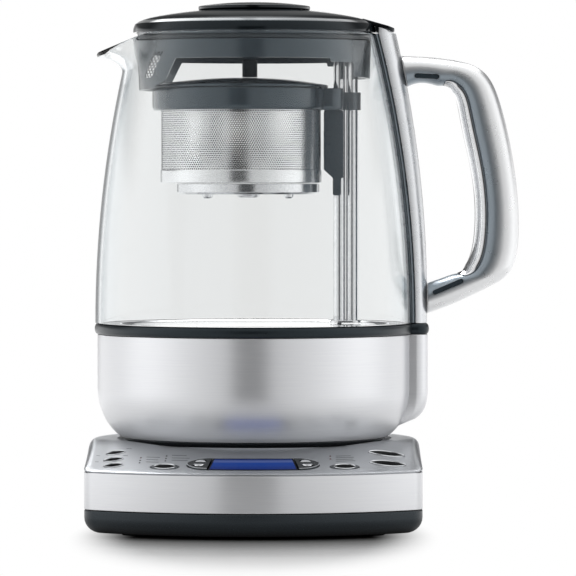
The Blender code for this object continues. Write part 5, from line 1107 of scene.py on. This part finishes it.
def collarRing(inset, height):
    ring = keyholeRing(basket.collarRadius - inset, basket.collarReach - basket.x - inset,
                       basket.neckHalf - inset, jug.columnCorner - inset, height, steps=96)
    return [(x + basket.x, y, z) for x, y, z in ring]


rings = [collarRing(inset, basket.collarBottom + up)
         for inset, up in ((1.0, 0), (0.45, 0.5), (0.12, 1.4), (0, 2.4))]
rings += [collarRing(inset, basket.collarTop - down) for inset, down in ((0, 0.7), (0.2, 0.2), (0.6, 0))]
collar = stackRings(rings)
sliderOut = post.tubeRadius + basket.sliderWall
sliderTop = basket.collarTop - basket.sliderDrop
outline = arc((post.sensorX, 0), sliderOut, -math.pi / 2, math.pi / 2, 20)
outline += [(basket.collarReach - 1.0, sliderOut), (basket.collarReach - 1.0, -sliderOut)]
slider = prism(outline, (sliderTop - basket.sliderHeight, sliderTop))
sliderBore = turned([(post.bore, sliderTop - 12), (post.bore, sliderTop + 4)], 32, (post.sensorX, 0), edge=0)
shelf = basket.collarBottom + basket.collarWall
rimSeat = basket.cupRadius + basket.rimReach + clearance
cupSeat = basket.cupRadius + clearance
above, below = basket.collarTop + 2, basket.collarBottom - 2
tools = [turned([(0, above), (rimSeat, above), (rimSeat, shelf), (cupSeat, shelf), (cupSeat, below),
                 (0, below)], 96, (basket.x, 0), edge=0)]
tools += [turned([(post.bore, basket.collarBottom - basket.sliderHeight), (post.bore, above)], 32, (x, 0),
                 edge=0) for x in (post.driveX, post.sensorX)]
finishPiece(collar, slateMoulded, "basket", "basket_collar", cuts=tools, angle=36)
finishPiece(slider, slateMoulded, "basket", title="slider", cuts=[sliderBore], angle=36)

cupOut = basket.cupRadius
cupIn = cupOut - basket.cupWall
bandLip = basket.bandTop + 0.2
bandFloor = basket.bandBottom + basket.cupWall
bandOut = cupOut + 0.3
lowBand = turned([(0, basket.bandBottom), (bandOut, basket.bandBottom), (bandOut, bandLip),
                  (cupIn, bandLip), (cupIn, bandFloor), (0, bandFloor)], 112, (basket.x, 0), edge=0.5)
rimOut = cupOut + basket.rimReach
rimLow = basket.rimTop - basket.rimHeight
rim = turned([(cupIn, basket.rimBottom), (cupOut, basket.rimBottom), (cupOut, rimLow), (rimOut, rimLow),
              (rimOut, basket.rimTop), (cupIn, basket.rimTop)], 112, (basket.x, 0), True, 0.25)
rings = []
for step in range(25):
    angle = basket.stripHalf * (2 * step / 24 - 1)
    rings.append([(basket.x + r * math.cos(angle), r * math.sin(angle), z) for r, z in (
        (cupIn, basket.stripBottom), (cupOut, basket.stripBottom), (cupOut, basket.stripTop),
        (cupIn, basket.stripTop))])
cup = joinMeshes([lowBand, rim, stackRings(rings)])
sheetRadius = cupOut - basket.sheetThickness - basket.sheetGap
arcLength = (turn - 2 * basket.stripHalf) * sheetRadius
columns = int(arcLength / basket.pitch) + 1
rowStep = basket.pitch * math.sqrt(3) / 2
rowCount = int((basket.fieldTop - basket.bandTop) / rowStep) + 1
cup.from_mesh(perforatedMesh({
    "Columns": columns, "Rows": rowCount, "Pitch": basket.pitch, "Hole Share": basket.holeShare,
    "Thickness": basket.sheetThickness, "Radius": sheetRadius, "Taper": 0.0, "Centre X": basket.x,
    "Low Height": basket.bandTop + 0.55, "Start Angle": basket.stripHalf - 0.3 * basket.pitch / sheetRadius,
    "Slant": 0.0, "Stretch": 1.0, "Material": cupSteel}))
finishPiece(cup, cupSteel, "basket", "basket_cup", angle=36, weighted=False)
print("perforated cup made:", columns, "by", rowCount)

top = basket.bandBottom - 0.3
low = top - basket.stepHeight
stepIn = basket.stepRadius - basket.cupWall
stepFloor = low + basket.cupWall
parts = [turned([(0, low), (basket.stepRadius - 1.0, low), (basket.stepRadius, low + 1.0),
                 (basket.stepRadius, top), (stepIn, top), (stepIn, stepFloor), (0, stepFloor)],
                96, (basket.stepX, 0), edge=0.35)]
# Profiles of the feet and the boss: radius, and height over the underside
footProfile = ((0, -2.0), (1.3, -2.0), (2.2, -1.2), (2.6, 0.4), (0, 0.4))
bossProfile = ((0, -1.6), (4.6, -1.6), (5.8, -0.9), (6.4, 0.4), (0, 0.4))
for k in range(4):
    angle = turn / 8 + turn * k / 4
    spot = (basket.stepX + basket.footCircle * math.cos(angle), basket.footCircle * math.sin(angle))
    parts.append(turned([(radius, low + up) for radius, up in footProfile], 24, spot))
parts.append(turned([(radius, low + up) for radius, up in bossProfile], 32, (basket.stepX, 0)))
finishPiece(joinMeshes(parts), steelSheet, "basket", "basket_base", angle=36)

bracket = Sizes(
    inner=34.0, half=5.2, bottom=170.2, chamfer=4.0, tailX=38.4, tailReach=42.4, tailBottom=161.7,
    magnetSkin=0.4, pocketHalf=3.3, pocketRise=6.3)
top = basket.collarBottom
outline = soften([(bracket.inner, top), (bracket.inner, bracket.bottom + bracket.chamfer),
                  (bracket.tailX, bracket.bottom), (bracket.tailX, bracket.tailBottom),
                  (bracket.tailReach, bracket.tailBottom), (bracket.tailReach, bracket.bottom),
                  (basket.collarReach, bracket.bottom), (basket.collarReach, top)], 0.9, True)
centreX = sum(point.x for point in outline) / len(outline)
rings = []
for y, shrink in ((-1.0, 0.5), (-0.94, 0.12), (-0.86, 0.0), (0.86, 0.0), (0.94, 0.12), (1.0, 0.5)):
    rings.append([(x + (centreX - x) * shrink * 0.12, bracket.half * y, z) for x, z in outline])
middleZ = bracket.bottom + (basket.collarBottom - bracket.bottom) / 2
pocketIn = bracket.inner - 2
pocketOut = post.driveX - post.bore - bracket.magnetSkin + clearance
pocket = [(x, y * bracket.pocketHalf)
          for x, y in ((pocketIn, -1), (pocketOut, -1), (pocketOut, 1), (pocketIn, 1))]
tools = [turned([(post.bore, bracket.tailBottom - 2), (post.bore, top + 2)], 32, (post.driveX, 0), edge=0),
         prism(pocket, (middleZ - bracket.pocketRise, middleZ + bracket.pocketRise))]
hanger = stackRings(rings)
finishPiece(hanger, slateMoulded, "basket", "basket_bracket", cuts=tools, angle=36)

lidLow = basket.collarTop + clearance
lidRadius = basket.collarRadius - 0.8
lidProfile = [(0, lidLow + basket.lidRise), (lidRadius * 0.25, lidLow + basket.lidRise),
              (lidRadius - 1.6, lidLow), (lidRadius, lidLow), (lidRadius, lidLow + basket.lidEdge)]
for k in range(1, 9):    # a crown over the edge
    share = 1 - k / 8
    height = lidLow + basket.lidEdge + basket.lidRise * (1 - share ** 2.2)
    lidProfile.append((lidRadius * share, height))
finishPiece(turned(lidProfile, 96, (basket.x, 0), edge=0.5), slateMoulded, "basket_lid",
            "basket_lid")
rodLow = lidLow + basket.lidEdge + basket.lidRise + clearance
rod = turned([(0, rodLow), (basket.rodRadius, rodLow), (basket.rodRadius, basket.rodTop - basket.rodBevel),
              (basket.rodRadius - basket.rodBevel, basket.rodTop), (0, basket.rodTop)],
             40, (basket.rodX, 0), edge=0.3)
finishPiece(rod, rodBlack, "basket_lid", "basket_lid_rod")
print("basket made")


# Jug lid

lid = Sizes(
    radius=59.6, bottom=241.2, edgeTop=245.6, domeTop=252.6, thickness=2.0, knobRadius=27.3,
    knobTop=256.2, skirtRadius=57.2, skirtWall=2.0, ringBottom=227.6, filterBottom=213.0,
    blockBottom=218.8, stepBottom=225.8, skirtTop=244.0, roofThickness=2.0, grooveDrop=2.2, grooveHeight=2.4,
    grooveDepth=1.2, flapTop=-36.9, flapMiddle=(-41.9, 217.2), flapBottom=-49.9, blockStart=47.8,
    stepStart=36.5)
rise = lid.domeTop - lid.edgeTop
domeShares = ((0.0, 0.95), (0.44, 0.945), (0.58, 0.82), (0.71, 0.665), (0.80, 0.525), (0.87, 0.395),
              (0.92, 0.265), (0.955, 0.125), (0.98, -0.04), (0.993, -0.34))
outside = [(lid.radius * r, lid.edgeTop + rise * z) for r, z in domeShares]
inRadius = lid.radius - lid.thickness
inside = [(inRadius * r, lid.edgeTop + rise * z - lid.thickness * 0.8) for r, z in domeShares[:-3]]
profile = outside + [(lid.radius - 0.3, lid.bottom + 0.1), (lid.radius - 0.6, lid.bottom),
                     (inRadius, lid.bottom), (inRadius, lid.edgeTop - 2.6)]
profile += list(reversed(inside))
finishPiece(turned(profile, 128, edge=0.45), slateGloss, "lid", "lid_cover")

knobLow = lid.domeTop - 0.3
knobEdge = knobLow + 1.9
profile = [(0, knobLow), (lid.knobRadius - 0.4, knobLow), (lid.knobRadius, knobLow + 0.4),
           (lid.knobRadius, knobEdge)]
for k in range(1, 9):    # a low crown
    share = 1 - k / 8
    profile.append((lid.knobRadius * share, knobEdge + (lid.knobTop - knobEdge) * (1 - share ** 2.3)))
finishPiece(turned(profile, 96, edge=0.5), absGloss, "lid", "lid_knob")

roof = lid.skirtTop - lid.roofThickness
grooveTop = lid.bottom - lid.grooveDrop
grooveLow = grooveTop - lid.grooveHeight
groove = lid.skirtRadius - lid.grooveDepth
profile = [(0, lid.skirtTop), (lid.skirtRadius, lid.skirtTop), (lid.skirtRadius, grooveTop),
           (groove, grooveTop), (groove, grooveLow), (lid.skirtRadius, grooveLow),
           (lid.skirtRadius - 0.8, lid.filterBottom),
           (lid.skirtRadius - 0.8 - lid.skirtWall, lid.filterBottom), (lid.skirtRadius - lid.skirtWall, roof),
           (0, roof)]
skirt = plainObject("lidSkirt", turned(profile, 128, edge=0.25))
below = lid.filterBottom - 2
beyond = lid.skirtRadius + 2
outline = soften([(lid.flapTop, lid.ringBottom), lid.flapMiddle, (lid.flapBottom, lid.filterBottom),
                  (lid.flapBottom - 1.1, below), (beyond, below), (beyond, lid.blockBottom),
                  (lid.blockStart, lid.blockBottom), (lid.blockStart, lid.stepBottom),
                  (lid.stepStart, lid.stepBottom), (lid.stepStart, lid.ringBottom)], 0.8, True)
tools = [wall(outline, (-beyond, beyond))]
# The strainer in the skirt's flap, a slanted field of holes on each side of the spout.
strainer = Sizes(
    pitch=1.5, stretch=2.1, holeShare=0.72, thickness=0.12, radius=56.15, taper=0.034,
    low=218.6, high=230.9, lowX=(-52.6, -48.8), highX=(-47.4, -42.9), near=8.0, far=62.0,
    span=math.radians(12.5), backWider=3.0)
for side in (-1, 1):
    wider = strainer.backWider if side > 0 else 0.0
    outline = [(strainer.lowX[1] + wider, strainer.low), (strainer.lowX[0] - wider, strainer.low),
               (strainer.highX[0] - wider, strainer.high), (strainer.highX[1] + wider, strainer.high)]
    tools.append(wall(outline, (side * strainer.near, side * strainer.far)))
cutAway(skirt, tools)
skirtMesh = bmesh.new()
skirtMesh.from_mesh(skirt.data)
bmesh.ops.scale(skirtMesh, vec=(1 / millimetre,) * 3, verts=skirtMesh.verts[:])
bpy.data.objects.remove(skirt)
pitchAngle = strainer.pitch * strainer.stretch / strainer.radius
lowStart, highStart = (math.acos(end[1] / strainer.radius) for end in (strainer.lowX, strainer.highX))
lean = highStart - lowStart
rowCount = int((strainer.high - strainer.low) / (strainer.pitch * math.sqrt(3) / 2)) + 3
columns = int(strainer.span / pitchAngle) + 3
for side, early, more, opener in ((-1, 2.0, 0, 0.0), (1, 6.0, 3, 0.12)):    # wider and more open at the back
    field = perforatedMesh({
        "Columns": columns + more, "Rows": rowCount, "Pitch": strainer.pitch,
        "Hole Share": strainer.holeShare + opener, "Thickness": strainer.thickness,
        "Radius": strainer.radius, "Taper": strainer.taper, "Centre X": 0.0, "Low Height": strainer.low - 1.2,
        "Start Angle": lowStart - math.radians(early), "Slant": lean / (rowCount * pitchAngle),
        "Stretch": strainer.stretch, "Material": slateMoulded})
    if side < 0:
        field.transform(Matrix.Scale(-1, 4, (0, 1, 0)))
        field.flip_normals()
    skirtMesh.from_mesh(field)
finishPiece(plainObject("lidSkirt", skirtMesh, False), slateMoulded, "lid", "lid_skirt",
            angle=36, weighted=False)

seal = turned([(groove + clearance, grooveLow + clearance), (lid.skirtRadius + 0.1, grooveLow + clearance),
               (lid.skirtRadius + 0.1, grooveTop - clearance), (groove + clearance, grooveTop - clearance)],
              128, closed=True, edge=0.4)
finishPiece(seal, sealSilicone, "lid", "lid_seal")

half = math.asin(tab.half / tab.root)
outline = arc((0, 0), tab.root, half, -half, 12)
outline += arc((tab.reach - tab.corner, tab.corner - tab.half), tab.corner, -math.pi / 2, 0, 8)
outline += arc((tab.reach - tab.corner, tab.half - tab.corner), tab.corner, 0, math.pi / 2, 8)
centreX = (tab.root + tab.reach) / 2


def domeHeight(reach):
    share = reach / lid.radius
    for (innerR, innerZ), (outerR, outerZ) in zip(domeShares, domeShares[1:]):
        if share <= outerR:
            return lid.edgeTop + rise * (innerZ + (outerZ - innerZ) * (share - innerR) / (outerR - innerR))
    return lid.edgeTop + rise


rings = []
for drop, inset in ((2.0, 0.4), (1.7, 0.0), (0.5, 0.0), (0.15, 0.15), (0.0, 0.5)):
    ring = []
    for x, y in outline:
        share = (x - tab.root) / (tab.reach - tab.root)
        height = min(tab.top - tabFall(share), domeHeight(math.hypot(x, y)) + 0.15)
        ring.append((x + (centreX - x) * inset / 7, y * (1 - inset / tab.half), height - drop))
    rings.append(ring)
# a roll under the tab, over the glass's rim
ends = ((0.0, 0.6), (0.2, 0.88), (0.6, 1.0))
rollRings = [(inset - tab.rollHalf, share) for inset, share in ends]
rollRings += [(tab.rollHalf - inset, share) for inset, share in reversed(ends)]
rollRings = [[(x, y, z) for x, z, y in circleRing(tab.rollRadius * share, y, 28, (tab.rollX, tab.rollZ))]
             for y, share in rollRings]
tabShape = joinMeshes([stackRings(rings), stackRings(rollRings)])
finishPiece(tabShape, absGloss, "lid", "lid_tab")
print("lid made")


# Hidden pieces keep their solids and take a finish.

keptFinishes = {
    "cord_gland": footRubber, "control_board": boardMask, "base_connector": absBlack,
    "jug_connector": absBlack, "floor_seal": sealSilicone, "heating_element": elementNickel,
    "thermostat": absBlack, "drive_motor": magnetNickel, "lead_screw": screwSteel,
    "magnet_carriage": magnetNickel, "basket_magnet": magnetNickel}
for name, material in keptFinishes.items():
    nodes[name].data.materials.clear()
    nodes[name].data.materials.append(material)


# Floor, world, lamps and camera

# Stage sizes in metres. A round paper floor: near the object it shows light and shadow, deepened by a painted
# contact shadow from ambient occlusion, and towards its rim it turns to the background's white. Mirrors see
# its glow dimmed under the object, a painted shade, more than at its sides.
stage = Sizes(floorRadius=0.36, shadowWide=0.101, shadowDeep=0.27, shadowMiddle=-0.075, fadeFrom=0.55,
              fadeTo=0.88, worldFill=0.27)
floorRadius = stage.floorRadius / millimetre
floor = plainObject("floor", turned([(0, -2.0), (floorRadius, -2.0), (floorRadius, 0), (0, 0)], 96, edge=0))
paper, tree, shader = newFinish("studioPaper", "#f8f8f8", 0.9, Specular_IOR_Level=0.1)
# painted contact shadow: ambient occlusion to the fifth power darkens the paper's colour
nearness = addNode(tree, "AmbientOcclusion", Distance=0.1, samples=8).outputs["AO"]
contactShade = addNode(tree, "Math", nearness, 5.0, operation='POWER')
shaded = addNode(tree, "VectorMath", tone("#f8f8f8")[:3], Scale=contactShade, operation='SCALE')
feed(tree, shader, {"Base Color": shaded})
place = addNode(tree, "TexCoord").outputs["Object"]
spread = addNode(tree, "Mapping", place, Location=(0, -stage.shadowMiddle / stage.shadowDeep, 0),
                 Scale=(1 / stage.shadowWide, 1 / stage.shadowDeep, 1))
away = addNode(tree, "VectorMath", spread, operation='LENGTH').outputs["Value"]
fade = addNode(tree, "MapRange", away, stage.fadeFrom, stage.fadeTo, interpolation_type='SMOOTHSTEP')
path = addNode(tree, "LightPath").outputs
seen = addNode(tree, "Math", path["Is Camera Ray"], path["Is Transmission Ray"], operation='MAXIMUM')
seen = addNode(tree, "Math", seen, path["Is Glossy Ray"], operation='MAXIMUM')
part = addNode(tree, "Math", seen, fade, operation='MULTIPLY')
inMirror = addNode(tree, "Math", path["Glossy Depth"], 0.5, operation='GREATER_THAN')
part = addNode(tree, "Math", part, inMirror, operation='MAXIMUM')
# painted shade in mirrors: the glow they see is dimmed towards the middle and by occlusion near the object
aside = addNode(tree, "Math", addNode(tree, "SeparateXYZ", place), operation='ABSOLUTE')
sideways = addNode(tree, "MapRange", aside, 0.03, 0.14, 0.72, 1.0, interpolation_type='SMOOTHSTEP')
softer = addNode(tree, "Math", nearness, 1.5, operation='POWER')
dimmed = addNode(tree, "Math", sideways, softer, operation='MULTIPLY')
strength = addNode(tree, "MapRange", path["Glossy Depth"], 0.4, 0.6, 1.0, dimmed)
glow = addNode(tree, "Emission", (1, 1, 1, 1), strength)
feed(tree, tree.nodes["Material Output"], {"Surface": addNode(tree, "MixShader", part, shader, glow)})
floor.data.materials.append(paper)

# World: white to the eye and through glass. Gloss sees the studio: bright sides and sweep, and these fields,
# each a product of soft steps (source, from, to, start, end): the dark gap between the front softboxes, a
# dark strip above the sweep, two dark flags beside the sweep, and the overhead softbox.
world = bpy.data.worlds.new("studio")
world.use_nodes = True
bpy.context.scene.world = world
tree = world.node_tree
tree.nodes.clear()
path = addNode(tree, "LightPath").outputs
east, north, up = addNode(tree, "SeparateXYZ", addNode(tree, "TexCoord").outputs["Generated"]).outputs
aside, offLeft, offMiddle = (addNode(tree, "Math", source, operation='ABSOLUTE') for source in (
    east, *[addNode(tree, "Math", east, shift, operation='ADD') for shift in (0.04, 0.03)]))
lean = addNode(tree, "Math", north, -2.0, 2.001, operation='MULTIPLY_ADD')
lean = addNode(tree, "Math", lean, operation='SQRT')
steep = addNode(tree, "Math", up, lean, operation='DIVIDE')
fields = {
    "gap": ((offLeft, 0.19, 0.25, 1.0, 0.0), (north, -0.6, -0.3, 1.0, 0.0), (up, -0.30, -0.18, 0.0, 1.0),
            (up, 0.25, 0.40, 1.0, 0.0)),
    "above": ((up, 0.10, 0.17, 0.0, 1.0), (up, 0.60, 0.74, 1.0, 0.0), (north, 0.1, 0.5, 0.0, 1.0)),
    "flags": ((aside, 0.04, 0.08, 0.0, 1.0), (aside, 0.36, 0.46, 1.0, 0.0), (north, 0.78, 0.88, 0.0, 1.0),
              (up, -0.05, -0.025, 0.0, 1.0)),
    "over": ((steep, 0.71, 0.76, 0.0, 1.0), (steep, 0.855, 0.895, 1.0, 0.0),
             (offMiddle, 0.02, 0.05, 0.6, 1.0), (east, -0.05, 0.35, 9.0, 2.4), (up, 0.42, 0.58, 0.06, 1.0)),
}
for name, steps in fields.items():
    field = 1.0
    for step in steps:
        step = addNode(tree, "MapRange", *step, interpolation_type='SMOOTHSTEP')
        field = addNode(tree, "Math", field, step, operation='MULTIPLY')
    fields[name] = field
around = addNode(tree, "Math", north, -0.5, 0.5, operation='MULTIPLY_ADD')
sides = addNode(tree, "ValToRGB", around, stops=((0.0, 0.78), (0.33, 0.88), (0.46, 0.98), (0.60, 0.98),
                                                 (0.74, 0.80), (0.84, 0.68), (0.93, 0.56), (1.0, 0.50)))
sides.color_ramp.interpolation = 'B_SPLINE'
gloss = addNode(tree, "Math", sides, 1.55, operation='MULTIPLY')
for name, loss in (("gap", 0.90), ("above", 0.85), ("flags", 0.6)):
    kept = addNode(tree, "Math", fields[name], -loss, 1.0, operation='MULTIPLY_ADD')
    gloss = addNode(tree, "Math", gloss, kept, operation='MULTIPLY')
once = addNode(tree, "Math", path["Glossy Depth"], 1.5, operation='LESS_THAN')
gloss = addNode(tree, "Math", fields["over"], once, gloss, operation='MULTIPLY_ADD')
mirrored = addNode(tree, "Math", path["Glossy Depth"], 0.5, operation='GREATER_THAN')
unmirrored = addNode(tree, "Math", 1.0, mirrored, operation='SUBTRACT')
through = addNode(tree, "Math", path["Is Transmission Ray"], unmirrored, operation='MULTIPLY')
clear = addNode(tree, "Math", path["Is Camera Ray"], through, operation='MAXIMUM')
shine = addNode(tree, "Math", path["Is Glossy Ray"], mirrored, operation='MAXIMUM')
lit = addNode(tree, "Mix", shine, A=stage.worldFill, B=gloss)
white = addNode(tree, "Mix", clear, A=lit, B=1.0)
addNode(tree, "OutputWorld", addNode(tree, "Background", (1, 1, 1, 1), white))

lamps = (    # name, watts, width, height, place, aim
    ("leftSoftbox", 3.5, 0.7, 1.0, (-1.2, -0.75, 0.65), (0, 0, 0.10)),
    ("rightSoftbox", 3.5, 0.7, 1.0, (1.2, -0.75, 0.65), (0, 0, 0.10)),
    ("backSoftbox", 19.0, 0.6, 0.45, (0.0, 0.75, 1.45), (0, 0, 0.05)),
)
for name, watts, width, height, spot, aim in lamps:
    light = bpy.data.lights.new(name, 'AREA')
    light.shape = 'RECTANGLE'
    light.size = width
    light.size_y = height
    light.energy = watts
    lamp = bpy.data.objects.new(name, light)
    lamp.location = spot
    lamp.rotation_euler = (Vector(aim) - Vector(spot)).to_track_quat('-Z', 'Y').to_euler()
    lamp.visible_glossy = False
    lamp.visible_transmission = False
    bpy.context.scene.collection.objects.link(lamp)

view = Sizes(place=(0.0165, -2.2, 0.1644), pitch=math.radians(1.25), lens=280.6)
cameraData = bpy.data.cameras.new("camera")
cameraData.lens = view.lens
cameraData.sensor_width = 36
camera = bpy.data.objects.new("camera", cameraData)
camera.location = view.place
camera.rotation_euler = (math.pi / 2 - view.pitch, 0, 0)
bpy.context.scene.collection.objects.link(camera)
bpy.context.scene.camera = camera
bpy.context.scene.view_settings.view_transform = 'Standard'
print("studio made")
